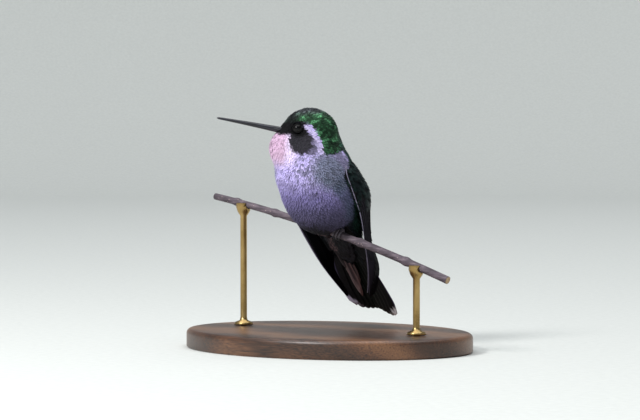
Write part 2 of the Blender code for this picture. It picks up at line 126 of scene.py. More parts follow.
def eased(share):
    """A share from 0 to 1 that starts and ends gently."""
    share = min(max(share, 0), 1)
    return share * share * (3 - 2 * share)

# %% [markdown]
# ## Tools for shapes
# Most pieces here are either sheets or rods that follow a curve. Both start from a flat grid
# whose points are then put in place by a rule: a sheet keeps its four edges, and a rod is a
# sheet rolled up and closed at its ends. Working this way, a feather and a twig are a rule of
# a few lines each, and a smoother or coarser version is only a change in two counts.

# %% Turn meshes into pieces of the model
def finished(name, bm, finish, slot, *stands_for):
    """Turns a bmesh into a piece of the model, in its finish, riding on the frame."""
    return placed(name, mesh_of(name, bm), finish, slot, *stands_for)


def mesh_of(name, bm):
    """A mesh with what the bmesh holds, which is then let go."""
    mesh = bpy.data.meshes.new(name)
    bm.to_mesh(mesh)
    bm.free()
    return mesh


def linked(name, data):
    """An object in the scene that shows this mesh, lamp or camera."""
    made = bpy.data.objects.new(name, data)
    bpy.context.scene.collection.objects.link(made)
    return made


def placed(name, mesh, finish, slot, *stands_for):
    """Makes a mesh a piece of the model: smooth, finished and riding on the frame."""
    mesh.materials.append(finish)
    mesh.shade_smooth()
    made = linked(name, mesh)
    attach(made, "root")
    if stands_for:
        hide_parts(*stands_for)
    triangles = sum(len(face.vertices) - 2 for face in mesh.polygons)
    print(name, "triangles", triangles)
    return made

# %% Make sheets and roll them into rods
SEAM_WELD = 0.2e-6  # joins the two sides of a rolled sheet


def sheet_into(bm, columns, rows, place):
    """Adds a sheet: place(across, along), each from 0 to 1, says where each point goes."""
    uv = bm.loops.layers.uv.get("Vane") or bm.loops.layers.uv.new("Vane")
    made = bmesh.ops.create_grid(bm, x_segments=columns, y_segments=rows, size=0.5)
    verts = made["verts"]
    shares = {vert: (vert.co.x + 0.5, vert.co.y + 0.5) for vert in verts}
    faces = {face for vert in verts for face in vert.link_faces}
    for face in faces:
        for loop in face.loops:
            loop[uv].uv = shares[loop.vert]
    for vert, (across, along) in shares.items():
        vert.co = place(across, along)
    return verts, list(faces)


def rod_into(bm, columns, rows, place):
    """Adds a rod: a sheet rolled round and welded, with its two ends filled."""
    verts, _faces = sheet_into(bm, columns, rows, lambda turn, along: place(turn % 1.0, along))
    bmesh.ops.remove_doubles(bm, verts=verts, dist=SEAM_WELD)
    verts = [vert for vert in verts if vert.is_valid]
    rims = {edge for vert in verts for edge in vert.link_edges if edge.is_boundary}
    bmesh.ops.holes_fill(bm, edges=list(rims), sides=0)
    faces = {face for vert in verts for face in vert.link_faces}
    bmesh.ops.recalc_face_normals(bm, faces=list(faces))


def round_rod(path, radius, flat=1.0, top=UP):
    """A rule for a rod round a path, radius(share) thick and flat times as high as wide."""

    def place(turn, share):
        ahead = path(min(share + 0.01, 1)) - path(max(share - 0.01, 0))
        side = ahead.cross(top).normalized()
        above = side.cross(ahead).normalized()
        angle = turn * math.tau
        out = side * math.cos(angle) + above * math.sin(angle) * flat
        return path(share) + out * radius(share)

    return place


def curve(points, share):
    """A point on the smooth curve through the points given, at a share of its length."""
    last = len(points) - 1
    position = min(max(share, 0), 1) * last
    start = min(int(position), last - 1)
    t = position - start
    before, a, b, after = (points[min(max(start + i, 0), last)] for i in (-1, 0, 1, 2))
    slope_a = (b - before) / 2
    slope_b = (after - a) / 2
    return (
        a * (2 * t**3 - 3 * t**2 + 1)
        + slope_a * (t**3 - 2 * t**2 + t)
        + b * (3 * t**2 - 2 * t**3)
        + slope_b * (t**3 - t**2)
    )


# %% [markdown]
# ## Tools for finishes
# Each finish is a small node tree. A helper adds a node, sets it and wires what goes into it, so
# a finish below reads from its pattern to its shader. Colours are written as they look on a
# screen, from 0 to 255, and turned into the linear values that light works with.

# %% Mix colours, add nodes and wire them
def paint(red, green, blue):
    """A colour as it looks, in linear light."""
    shares = np.array((red, green, blue)) / 255
    return np.where(shares <= 0.04045, shares / 12.92, ((shares + 0.055) / 1.055) ** 2.4)


def new_finish(name):
    """A new material, with its tree and its shader."""
    made = bpy.data.materials.new(name)
    made.use_nodes = True
    return made, made.node_tree, made.node_tree.nodes["Principled BSDF"]


def add(tree, kind, wires=None, **settings):
    """A node of this kind with its settings, and its sockets wired or set."""
    made = tree.nodes.new("ShaderNode" + kind)
    for name, value in settings.items():
        setattr(made, name, value)
    for socket, value in (wires or {}).items():
        if isinstance(value, bpy.types.NodeSocket):
            tree.links.new(value, made.inputs[socket])
        else:
            made.inputs[socket].default_value = value
    return made


def wired(tree, shader, **sockets):
    """Wires or sets the shader's sockets, whose names are given with _ for a space."""
    for name, value in sockets.items():
        socket = shader.inputs[name.replace("_", " ")]
        if isinstance(value, bpy.types.NodeSocket):
            tree.links.new(value, socket)
        else:
            socket.default_value = value


def bumped(tree, shader, height, distance, strength):
    """Lets a pattern raise the surface by up to this distance."""
    made = add(tree, "Bump", {"Height": height, "Distance": distance, "Strength": strength})
    tree.links.new(made.outputs["Normal"], shader.inputs["Normal"])

# %% Make patterns to wire in
def maths(tree, operation, *values):
    """A number worked out from others, each a wire or a plain value."""
    made = add(tree, "Math", dict(enumerate(values)), operation=operation)
    return made.outputs[0]


def ramp(tree, value, *stops):
    """A colour ramp through (place, colour) stops."""
    made = add(tree, "ValToRGB", {"Fac": value})
    elements = made.color_ramp.elements
    while len(elements) < len(stops):
        elements.new(1)
    for element, (place, colour) in zip(elements, stops):
        element.position = place
        element.color = (*colour, 1)
    return made.outputs["Color"]


def own_place(tree):
    """The object's own coordinates, which stay with it wherever it is seen from."""
    return add(tree, "TexCoord").outputs["Object"]


def spots(tree, scale, detail=4, roughness=0.5):
    """A noise pattern, in spots per metre."""
    wires = {"Vector": own_place(tree), "Scale": scale, "Detail": detail, "Roughness": roughness}
    return add(tree, "TexNoise", wires).outputs["Fac"]


def streaks(tree, per_metre, detail):
    """A noise pattern drawn out into fibres: its spots per metre differ along x, y and z."""
    stretched = add(tree, "Mapping", {"Vector": own_place(tree), "Scale": per_metre}).outputs[0]
    wires = {"Vector": stretched, "Scale": 1.0, "Detail": detail}
    return add(tree, "TexNoise", wires).outputs["Fac"]


def cells(tree, scale):
    """The distance from the nearest of many scattered points, for pores and scales."""
    wires = {"Vector": own_place(tree), "Scale": scale}
    return add(tree, "TexVoronoi", wires).outputs["Distance"]


def own_hue(tree, shade):
    """The colour that the mesh carries at each point, made lighter or darker by a pattern."""
    hue = add(tree, "Attribute", attribute_name="hue").outputs["Color"]
    shaded = add(tree, "VectorMath", {0: hue}, operation="SCALE")
    tree.links.new(shade, shaded.inputs["Scale"])
    return shaded.outputs[0]


def mixed(tree, share, first, second):
    """Two colours mixed by a share."""
    made = add(tree, "Mix", data_type="RGBA", blend_type="MIX")
    for socket, value in (("Factor", share), ("A", first), ("B", second)):
        chosen = [s for s in made.inputs if s.name == socket and s.enabled][0]
        if isinstance(value, bpy.types.NodeSocket):
            tree.links.new(value, chosen)
        else:
            chosen.default_value = value if isinstance(value, float) else (*value, 1)
    return [s for s in made.outputs if s.enabled][0]


# %% [markdown]
# ## The skin
# Under its feathers the bird is one skin from the bill to the tail, but the solids part it into
# head, neck and trunk with thin cuts, and hollow the trunk where the folded wings lie. Drawing it
# again by hand would lose their proportions, so copies of the three and of the wings' coverts are
# swollen until they run into each other, fused by a voxel remesh, and shrunk back. They are then
# shrunk further, by the depth of the coat, which is thin round the eye and the bill and deepest
# on the belly.

# %% Say how deep the coat is
FACE_COAT = 0.12 * MM
HEAD_COAT = 0.4 * MM
BODY_COAT = 0.75 * MM
BARE_ROUND_EYE = 1.6 * MM
BARE_AT_BILL = 1.6 * MM
BILL_FEATHERING = 3.0 * MM  # over this length the coat deepens behind the bill
NECK_TOP = 3 * MM  # below the head's middle
NECK_DROP = 12 * MM
BILL_PLACE = (8.3, 0, 0)  # on the head, in millimetres
BILL_ROOT = on_head(BILL_PLACE)


def to_nearest_eye(point):
    """The distance from the middle of the nearer eye."""
    return min((point - eyes[side]).length for side in (1, -1))


def coat_depth(point):
    """How deep the feathers lie here: next to nothing at the eye and bill, then deepening."""
    past_eye = (to_nearest_eye(point) - EYE_RADIUS) / BARE_ROUND_EYE
    past_bill = ((point - BILL_ROOT).length - BARE_AT_BILL) / BILL_FEATHERING
    bare = max(1 - past_eye, 1 - past_bill)
    down_the_neck = eased((HEAD.z - point.z - NECK_TOP) / NECK_DROP)
    full = blend(HEAD_COAT, BODY_COAT, down_the_neck)
    return blend(full, FACE_COAT, eased(bare))

# %% Fuse the flesh and shrink it into a skin
FLESH = ("head", "neck", "trunk")
ARMS = ("wing_left_coverts", "wing_right_coverts")  # the skin runs on under the wings
SWELL = 0.22 * MM
SKIN_VOXEL = 0.42 * MM
SOLID_WELD = 1e-7


def welded(name):
    """A copy of a solid's loose triangles, joined into one surface."""
    bm = bmesh.new()
    bm.from_mesh(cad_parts[name].data)
    bmesh.ops.remove_doubles(bm, verts=bm.verts, dist=SOLID_WELD)
    return bm


def fused_flesh():
    """One closed mesh round all the flesh, swollen by a known amount."""
    whole = bmesh.new()
    for name in FLESH + ARMS:
        part = welded(name)
        part.normal_update()
        for vert in part.verts:
            vert.co += vert.normal * SWELL
        mesh = mesh_of("part", part)
        whole.from_mesh(mesh)
        bpy.data.meshes.remove(mesh)
    body = linked("flesh", mesh_of("flesh", whole))
    fuse = body.modifiers.new("fuse", "REMESH")
    fuse.mode = "VOXEL"
    fuse.voxel_size = SKIN_VOXEL
    soften = body.modifiers.new("soften", "SMOOTH")
    soften.factor = 0.5
    soften.iterations = 4
    graph = bpy.context.evaluated_depsgraph_get()
    fused = bpy.data.meshes.new_from_object(body.evaluated_get(graph))
    bpy.data.objects.remove(body)
    return fused


skin_bm = bmesh.new()
skin_bm.from_mesh(fused_flesh())
skin_bm.normal_update()
for vert in skin_bm.verts:
    vert.co -= vert.normal * (SWELL + coat_depth(vert.co))
skin_bm.normal_update()
ground = BVHTree.FromBMesh(skin_bm)
print("skin points", len(skin_bm.verts))

# %% [markdown]
# ## Eyelids
# A bird's eye looks out through a thin beaded rim, with a shallow fold round it. The rim is a
# little longer than high, so the opening is a blunt almond with a corner in front and behind.
# Both rings are rolled round the line of sight and joined to the skin, which they grow from.

# %% Roll the rims and folds of the lids
LID_ANGLE = 47  # from the line of sight to the rim, above and below
LID_CORNER = 11  # how much further out its corners lie
RIM_RADIUS = 0.12 * MM
RIM_BEADS = 34
FOLD_RADIUS = 0.07 * MM
FOLD_OUT = 9  # degrees beyond the rim


def gaze(side):
    """The eye looks sideways and slightly ahead."""
    return (HEAD_SIDE * side + HEAD_FORWARD * 0.28 + HEAD_UP * 0.05).normalized()


def lid_ring(side, further, thickness, beads):
    """The rule of a ring round the eye, further out than the rim by this many degrees."""
    axis = gaze(side)
    level = axis.cross(UP).normalized()
    height = level.cross(axis)

    def place(turn, along):
        around = (along % 1.0) * math.tau
        spread = LID_ANGLE + further + LID_CORNER * abs(math.cos(around)) ** 3
        ray = level * math.cos(around) + height * math.sin(around)
        out = axis * math.cos(math.radians(spread)) + ray * math.sin(math.radians(spread))
        beaded = thickness * (1 + beads * abs(math.sin(around * RIM_BEADS / 2)))
        tangent = (axis - out * axis.dot(out)).normalized()
        roll = out * math.cos(turn * math.tau) + tangent * math.sin(turn * math.tau)
        return eyes[side] + out * (EYE_RADIUS + thickness * 0.35) + roll * beaded

    return place


for side in (1, -1):
    rod_into(skin_bm, 10, 136, lid_ring(side, 0, RIM_RADIUS, 0.14))
    rod_into(skin_bm, 8, 96, lid_ring(side, FOLD_OUT, FOLD_RADIUS, 0.05))
print("skin points with its lids", len(skin_bm.verts))

# %% [markdown]
# ## Where the markings are
# The bird's markings are set down once, as rules over places on the head and body, and then
# asked for twice: by the skin, and by every feather for its own root. That keeps skin and coat
# in step, and it makes the far side of the bird as complete as the near one. Places on the head
# are (forward, sideways, up) from its middle and those on the body are (sideways, back, up) from
# the twig, in millimetres, with both sides of the bird folded into one.

# %% Measure places in the bird's own terms
def in_head(points):
    """Forward, sideways and up on the head, in millimetres, for a row of places."""
    turned = (points - np.array(HEAD)) @ np.array(HEAD_AXES) / MM
    turned[:, 1] = np.abs(turned[:, 1])
    return turned


def in_body(points):
    """Sideways, back and up from the twig, in millimetres, for a row of places."""
    moved = (points - np.array(PERCH)) / MM
    moved[:, 0] = np.abs(moved[:, 0])
    return moved


def rising(low, high, value):
    """0 at low, 1 at high, eased between them and level beyond, whichever is the larger."""
    share = np.clip((value - low) / (high - low), 0, 1)
    return share * share * (3 - 2 * share)


def away_from(places, *knots):
    """The distance of each place from a line through the knots, and how far along it is."""
    best = np.full(len(places), np.inf)
    along = np.zeros(len(places))
    pairs = list(zip(knots, knots[1:])) or [(knots[0], knots[0])]
    for number, (start, end) in enumerate(pairs):
        start, run = np.array(start), np.subtract(end, start)
        length = max(float(run @ run), 1e-9)
        share = np.clip((places - start) @ run / length, 0, 1)
        gap = np.linalg.norm(places - (start + share[:, None] * run), axis=1)
        along = np.where(gap < best, (number + share) / len(pairs), along)
        best = np.minimum(best, gap)
    return best, along


def patches(points, size, seed):
    """Soft blotches from 0 to 1, about this many millimetres across."""
    shift = Vector((seed * 13.7, seed * 7.1, seed * 3.3))
    values = [noise.noise(Vector(point) / (size * MM) + shift) for point in points]
    return np.clip(0.5 + 0.75 * np.array(values), 0, 1)


# %% [markdown]
# ## The plumage map
# A feather here has three colours: what its margin shows, what its middle shows, and how much
# it glints. On the crown the margin is a dark gap and the middle a green mirror; on the breast
# the margin is pale and the middle a grey-green spot. The rules below lay them one over the
# other, from the broad colours to the small marks, as a painter would.

# %% Lay colours over one another
class Plumage:
    """The colours of the feathers that root at some places: margin, middle and glint."""

    def __init__(self, points):
        self.head = in_head(points)
        self.body = in_body(points)
        self.left_of_twig = (points[:, 0] - PERCH.x) / MM
        self.coarse = patches(points, 2.4, 1)
        self.fine = patches(points, 1.1, 2)
        self.margin = np.zeros((len(points), 3))
        self.middle = np.zeros((len(points), 3))
        self.glint = np.zeros(len(points))

    def lay(self, share, edge, centre=None, shine=None):
        """Covers a share of what is there, with one colour or with a margin and a middle."""
        share = np.clip(share, 0, 1)
        keep = 1 - share[:, None]
        centre = edge if centre is None else centre
        self.margin = self.margin * keep + share[:, None] * np.array(edge)
        self.middle = self.middle * keep + share[:, None] * np.array(centre)
        if shine is not None:
            self.glint = self.glint * (1 - share) + share * shine

# %% Lay the pale underside and the throat
# A painted shadow in a small gap where the breast feathers part.
BREAST_GAP_SHADOW = (6.9, -16.0, 12.8)


def lay_underside(coat):
    """Lavender-white above, darkening to the belly in grey and painted shade; faint streaks,
    dapples.
    """
    height = coat.body[:, 2]
    coat.lay(np.ones(len(height)), paint(222, 210, 255), paint(194, 180, 238), 0.0)
    # Painted shade: these layers darken the underside downwards, partly the belly's own grey and
    # partly painted shade.
    coat.lay(rising(20, 11, height), paint(152, 142, 200), paint(126, 116, 172))
    coat.lay(rising(14, 6, height), paint(98, 92, 126), paint(72, 68, 94))
    coat.lay(rising(7, -1, height), paint(58, 56, 70), paint(40, 39, 48))
    streaked = rising(0.5, 0.8, coat.coarse) * rising(25, 19, height)
    coat.lay(0.4 * streaked, paint(104, 96, 132))
    dapples = rising(0.62, 0.8, coat.fine) * rising(8, 13, height) * rising(30, 24, height)
    coat.lay(0.6 * dapples, paint(112, 106, 140))
    # Painted shadow in the gap between the breast feathers.
    gap_shadow, _ = away_from(coat.body, BREAST_GAP_SHADOW)
    coat.lay(0.8 * rising(1.3, 0.5, gap_shadow), paint(52, 50, 66))


def lay_throat(coat):
    """A paler throat with a pinkish buff front, crossed by fine broken bars."""
    forward, _sideways, up = coat.head.T
    bare_throat = rising(3.0, 6.0, forward) * rising(1.5, 0.0, up) * rising(-12, -7, up)
    coat.lay(bare_throat, paint(246, 228, 255), paint(232, 214, 248))
    buff = bare_throat * rising(6.6, 8.6, forward)
    coat.lay(0.8 * buff, paint(216, 180, 208), paint(202, 160, 188))
    bars = np.abs(np.sin(2.1 * (up + 0.75 * forward) + 1.5 * (coat.coarse - 0.5)))
    coat.lay(0.45 * buff * rising(0.35, 0.1, bars) * rising(-7.5, -5, up), paint(110, 88, 104))

# %% Lay the green sides, the vent and the back
GREEN_SIDE = ((10.3, -13.5, 20.5), (11.4, -10.0, 18.5))
FLANK = ((12.2, -8.5, 15.5), (12.5, -4.7, 10.0), (10.5, 1.5, 5.5))
DARK_THIGH = ((8.2, 1.0, 2.0), (7.6, 3.5, 0.0))
BROWN_STREAK = ((-0.5, -4, 0.5), (-3.6, 5.7, -5.0))  # on the bird's right only
SHOULDER_PATCH = ((9.6, -8.6, 26.0), (10.8, -6.7, 23.4), (11.6, -5.7, 20.8))
# How far back the wing's leading edge runs, against the height on the body
WING_HEIGHT = (-22, -13, -4.2, 4.4, 12, 18.6, 23.6, 30)
WING_BACK = (15.2, 9.5, 4.2, -0.4, -4.2, -6.4, -4.6, -5.0)


def lay_sides(coat):
    """Grey-green spots on the side of the breast, a dusky flank and scallops under the cheek."""
    coarse, fine = coat.coarse, coat.fine
    side_distance, _ = away_from(coat.body, *GREEN_SIDE)
    green_side = rising(7.0, 3.0, side_distance + 2.0 * (fine - 0.5))
    coat.lay(0.75 * green_side, paint(134, 144, 164), paint(66, 92, 92), 0.2)
    flank_distance, _ = away_from(coat.body, *FLANK)
    flank = rising(4.4, 1.8, flank_distance + 1.6 * (coarse - 0.5))
    coat.lay(0.7 * flank, paint(92, 98, 128), paint(52, 68, 80), 0.2)
    dark_distance, _ = away_from(coat.body, *DARK_THIGH)
    coat.lay(rising(4.2, 1.6, dark_distance), paint(44, 44, 56), paint(26, 36, 40), 0.2)
    forward, _sideways, up = coat.head.T
    neck = rising(9.5, 6.0, np.abs(up + 8.0) + 1.5 * (fine - 0.5)) * rising(5.2, 3.4, forward)
    scallops = neck * rising(0.4, 0.65, fine)
    coat.lay(0.6 * scallops, paint(126, 122, 148), paint(94, 98, 114), 0.1)


def lay_vent_and_back(coat):
    """A dark vent with a brown streak, and a green back behind the wings' leading edges."""
    _across, back, height = coat.body.T
    vent = rising(1.5, -1.5, height + 0.25 * back)
    coat.lay(0.9 * vent, paint(42, 40, 44), paint(23, 24, 26), 0.0)
    one_sided = np.stack([coat.left_of_twig, back, height], axis=1)
    brown, _ = away_from(one_sided, *BROWN_STREAK)
    coat.lay(0.85 * vent * rising(2.4, 1.2, brown), paint(128, 102, 104), paint(58, 48, 52), 0.0)
    wing_line = np.interp(height, WING_HEIGHT, WING_BACK)
    over_tail = 0.74 * (back - 1.8) + 0.67 * (height - 3.8)
    upper_side = rising(-0.4, 1.2, back - wing_line) * rising(-0.2, 1.0, over_tail)
    coat.lay(upper_side, paint(34, 44, 44), paint(34, 66, 56), 0.5)
    patch_distance, _ = away_from(coat.body, *SHOULDER_PATCH)
    coat.lay(rising(2.2, 1.1, patch_distance), paint(158, 150, 188), paint(120, 116, 146), 0.0)

# %% Lay the marks of the head
EYE_SPOT = (4.2, 5.9, 1.1)
CHEEK_MIDDLE = (3.5, -2.7)  # forward and up
CHEEK_HALF = (3.3, 3.9)
BEHIND_CHEEK = ((0.4, 7.4, -2.6), (0.2, 8.0, -5.2))
# The lower edge of the dark cap, as height against the distance forward on the head
CAP_FORWARD = (-12, -9, -7.5, -4.6, -3.8, -3.3, -2.2, -1.0, 0.4, 2.3, 4.2, 6.5, 9)
CAP_HEIGHT = (-5.0, -4.6, -5.6, -6.4, -5.8, -4.6, -2.0, 0.3, 1.9, 2.9, 2.8, 1.9, 0.6)
LORES = ((8.6, 1.6, 0.7), (5.6, 4.6, 1.1))
STRIPE_TOP = ((2.3, 6.2, 1.9), (0.4, 6.8, 0.5), (-0.9, 7.4, -1.6))
STRIPE = (*STRIPE_TOP, (-1.9, 8.1, -3.7), (-2.9, 8.7, -5.4))


def lay_cheek(coat):
    """A charcoal cheek, softer where it runs out behind."""
    forward, sideways, up = coat.head.T
    ahead = (forward - CHEEK_MIDDLE[0]) / CHEEK_HALF[0]
    above = (up - CHEEK_MIDDLE[1]) / CHEEK_HALF[1]
    cheek = 1 - np.sqrt(ahead**2 + above**2)
    cheek = rising(-0.12, 0.1, cheek + 0.16 * (coat.fine - 0.5)) * rising(2, 4, sideways)
    behind, _ = away_from(coat.head, *BEHIND_CHEEK)
    soft = rising(2.0, 1.2, behind + 1.4 * (coat.fine - 0.5))
    coat.lay(0.85 * soft, paint(104, 98, 122), paint(66, 64, 78))
    coat.lay(cheek, paint(62, 57, 68), paint(38, 38, 42), 0.05)


def lay_cap(coat):
    """Green mirrors on the crown, bluer on the nape and dull on the top and the brow."""
    forward, _sideways, up = coat.head.T
    cap = rising(-0.3, 0.3, up - np.interp(forward, CAP_FORWARD, CAP_HEIGHT))
    cap *= rising(-13, -10, forward)
    coat.lay(cap, paint(15, 20, 19), paint(48, 86, 58), 0.8)
    nape = cap * rising(-8.0, -11.0, forward)
    coat.lay(0.75 * nape, paint(15, 22, 26), paint(28, 46, 48), 0.6)
    top = cap * rising(4.8, 6.8, up + 0.3 * forward + 0.8 * (coat.coarse - 0.5))
    coat.lay(0.85 * top, paint(34, 30, 38), paint(54, 50, 60), 0.2)
    brow = cap * rising(3.6, 6.0, forward + 0.8 * (coat.coarse - 0.5))
    coat.lay(0.92 * brow, paint(13, 13, 16), paint(26, 28, 30), 0.1)
    return cap


def lay_round_the_eye(coat):
    """Nearly black from the bill to the eye, then the white stripe that runs back and down."""
    lores, _ = away_from(coat.head, *LORES)
    coat.lay(rising(2.3, 1.5, lores), paint(4, 4, 6), None, 0.0)
    round_eye, _ = away_from(coat.head, EYE_SPOT)
    coat.lay(rising(3.1, 2.3, round_eye), paint(3, 3, 5), None, 0.0)
    stripe_distance, down_stripe = away_from(coat.head, *STRIPE)
    ragged = 0.5 * (coat.fine - 0.5) * (0.4 + down_stripe)
    stripe = rising(0.75, 0.4, stripe_distance + ragged - 0.25 * down_stripe)
    stripe *= 1 - 0.8 * rising(0.45, 0.9, down_stripe) * rising(0.35, 0.6, coat.fine)
    coat.lay(stripe, paint(222, 208, 246), paint(196, 184, 226), 0.0)


def plumage_at(points):
    """The margin, middle and glint of a feather at each place, and how far it is in the cap."""
    coat = Plumage(points)
    lay_underside(coat)
    lay_throat(coat)
    lay_sides(coat)
    lay_vent_and_back(coat)
    lay_cheek(coat)
    cap = lay_cap(coat)
    lay_round_the_eye(coat)
    return coat.margin, coat.middle, coat.glint, cap

# %% [markdown]
# ## Finishes for skin and feathers
# A feather is a row of fine barbs on either side of a shaft. Modelling every barb of thousands
# of feathers would weigh far too much, so the vane is one thin sheet, and the barbs are a
# pattern that runs out from its shaft in the vane's own coordinates. The colours come from the
# plumage map, carried on the mesh, and the glint makes a feather behave more like metal.

# %% Make the feather finishes
def barb_pattern(tree, count, slant):
    """Fine lines that leave the shaft at a slant; also the distance from the shaft, 0 to 1."""
    place = add(tree, "UVMap", uv_map="Vane").outputs[0]
    parts = add(tree, "SeparateXYZ", {"Vector": place})
    centred = maths(tree, "SUBTRACT", parts.outputs["X"], 0.5)
    from_shaft = maths(tree, "MULTIPLY", maths(tree, "ABSOLUTE", centred), 2.0)
    slanted = maths(tree, "MULTIPLY", from_shaft, -slant)
    phase = maths(tree, "MULTIPLY", maths(tree, "ADD", parts.outputs["Y"], slanted), count)
    wave = maths(tree, "SINE", maths(tree, "MULTIPLY", phase, math.tau))
    return maths(tree, "MULTIPLY_ADD", wave, 0.5, 0.5), from_shaft


def coat_finish(name, barbs, slant, softness, sheen=0.2, gloss=0.16):
    """Small feathers: matt where they are plain, bright and hard where they glint."""
    made, tree, shader = new_finish(name)
    glint = add(tree, "Attribute", attribute_name="glint").outputs["Fac"]
    lines, from_shaft = barb_pattern(tree, barbs, slant)
    grain = spots(tree, 2600)
    shade = maths(tree, "MULTIPLY_ADD", lines, 0.34, maths(tree, "MULTIPLY_ADD", grain, 0.4, 0.6))
    shaded = own_hue(tree, shade)
    rough = maths(tree, "MULTIPLY_ADD", glint, -0.38, softness)
    metal = maths(tree, "MULTIPLY", glint, 0.75)
    wired(tree, shader, Base_Color=shaded, Roughness=rough, Metallic=metal)
    wired(tree, shader, Sheen_Weight=sheen, Sheen_Roughness=0.5, Sheen_Tint=shaded)
    wired(tree, shader, Specular_IOR_Level=gloss)
    shaft = maths(tree, "LESS_THAN", from_shaft, 0.1)
    height = maths(tree, "ADD", lines, shaft)
    bumped(tree, shader, height, 0.02 * MM, 0.5)
    return made


plumage = coat_finish("plumage", 9, 0.35, 0.72)
scaly = coat_finish("glinting plumage", 6, 0.5, 0.66)


def skin_finish():
    """Pimpled skin in the colours of the coat that grows from it."""
    made, tree, shader = new_finish("skin")
    hue = add(tree, "Attribute", attribute_name="hue").outputs["Color"]
    grain = spots(tree, 1800)
    dull = mixed(tree, maths(tree, "MULTIPLY_ADD", grain, 0.2, 0.1), hue, paint(22, 20, 24))
    wired(tree, shader, Base_Color=dull, Roughness=0.8, Specular_IOR_Level=0.2)
    bumped(tree, shader, cells(tree, 2400), 0.05 * MM, 0.6)
    return made


skin_look = skin_finish()

# %% [markdown]
# ## Unfolding the body
# A feather coat has thousands of sheets, and a picture of its colours needs each to have its own
# small place on one square. The body is round enough to be seen from its middle in every
# direction, so it is unfolded the way a globe is opened into an eight-sided solid and laid flat.
# Neighbours on the bird stay neighbours on the square.

# %% Unfold directions onto a square
def unfolded(points, centre, half_sizes):
    """Places on the unit square for points round a centre, evened out by the half sizes."""
    ways = (points - np.array(centre)) / np.array(half_sizes)
    ways /= np.abs(ways).sum(axis=1)[:, None]
    flat = ways[:, :2].copy()
    signs = np.where(flat >= 0, 1.0, -1.0)
    folded = (1 - np.abs(flat[:, ::-1])) * signs
    below = ways[:, 2] < 0
    flat[below] = folded[below]
    return 0.5 + 0.49 * flat


def middle_and_half(*names):
    """The middle and half sizes of the box round some solids."""
    lows, highs = zip(*(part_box(name) for name in names))
    low = Vector([min(corner[i] for corner in lows) for i in range(3)])
    high = Vector([max(corner[i] for corner in highs) for i in range(3)])
    return (low + high) / 2, (high - low) / 2


def per_point_attributes(mesh, hue, glint):
    """Gives each point its colour and its glint, for the finishes to read."""
    colours = mesh.color_attributes.new(name="hue", type="FLOAT_COLOR", domain="POINT")
    colours.data.foreach_set("color", np.hstack([hue, np.ones((len(hue), 1))]).ravel())
    shine = mesh.attributes.new(name="glint", type="FLOAT", domain="POINT")
    shine.data.foreach_set("value", glint)


def spread_uv(mesh, name, per_point):
    """A UV map whose corners take the place given for their point."""
    index = np.empty(len(mesh.loops), np.int32)
    mesh.loops.foreach_get("vertex_index", index)
    layer = mesh.uv_layers.new(name=name)
    layer.data.foreach_set("uv", per_point[index].astype(np.float32).ravel())

# %% Dress the skin in its markings
body_centre, body_half = middle_and_half(*FLESH)
skin_mesh = mesh_of("skin", skin_bm)
skin_points = np.array([vert.co for vert in skin_mesh.vertices])
skin_margin, skin_middle, skin_glint, _cap = plumage_at(skin_points)
per_point_attributes(skin_mesh, 0.5 * (skin_margin + skin_middle), skin_glint)
placed("skin", skin_mesh, skin_look, "plumage", *FLESH)

# %% [markdown]
# ## One small feather
# A hummingbird's body feathers lie like roof tiles, each rooted under the ones before it and
# showing only its rounded tip. They are about a millimetre long at the bill and eye and twice
# that low on the belly. All of them share one drawing, made flat here: narrow at the root,
# widest past the middle, and notched a little along the tip where the barbs part.

# %% Draw one small feather, lying flat
ROOT_WIDTH = 0.42  # of its full width
WIDEST = 0.6  # share of its length
TIP_TAPER = 0.62
TIP_ROUNDING = 0.24
FRINGE = 0.035  # depth of the notches, as a share of its length
LENGTH_OVER_SPACING = 2.7
WIDTH_OVER_SPACING = 0.78


def flat_feather(columns, rows):
    """Points as across (-1 to 1) and along (0 to 1), their outline, and faces of four."""
    bm = bmesh.new()
    bmesh.ops.create_grid(bm, x_segments=columns, y_segments=rows, size=1)
    bm.verts.index_update()
    across = np.array([vert.co.x for vert in bm.verts])
    along = np.array([0.5 + vert.co.y / 2 for vert in bm.verts])
    faces = np.array([[vert.index for vert in face.verts] for face in bm.faces])
    bm.free()
    swelling = ROOT_WIDTH + (1 - ROOT_WIDTH) * np.sin(np.minimum(along / WIDEST, 1) * math.pi / 2)
    past = np.maximum(along - WIDEST, 0) / (1 - WIDEST)
    wide = swelling * np.sqrt(1 - TIP_TAPER * past**2)
    column = np.rint((across + 1) / 2 * columns)
    notch = FRINGE * (column % 2) * along**6
    long = along - TIP_ROUNDING * across**2 * along**4 - notch
    return across, along, np.stack([across * wide, long], axis=1), faces


# %% [markdown]
# ## Where feathers root
# Feathers grow in even quincunx rows, never on top of one another. Throwing points at the skin
# and keeping each one only if it stands clear of those before gives the same evenness without
# ranks that the eye would catch. Where a wing, the tail, a foot, the twig, the eye or the bill
# lies close over the skin nothing would be seen, so no feather is rooted there.

# %% Scatter roots over a surface
generator = np.random.default_rng(7)


def thrown(mesh, count):
    """Places thrown evenly over a mesh."""
    mesh.calc_loop_triangles()
    corners = np.empty(len(mesh.loop_triangles) * 3, np.int32)
    mesh.loop_triangles.foreach_get("vertices", corners)
    points = np.array([vert.co for vert in mesh.vertices])
    a, b, c = (points[corners.reshape(-1, 3)[:, i]] for i in range(3))
    areas = np.linalg.norm(np.cross(b - a, c - a), axis=1)
    chosen = generator.choice(len(areas), count, p=areas / areas.sum())
    u, v = generator.random((2, count))
    flip = u + v > 1
    u, v = np.where(flip, 1 - u, u)[:, None], np.where(flip, 1 - v, v)[:, None]
    return a[chosen] * (1 - u - v) + b[chosen] * u + c[chosen] * v


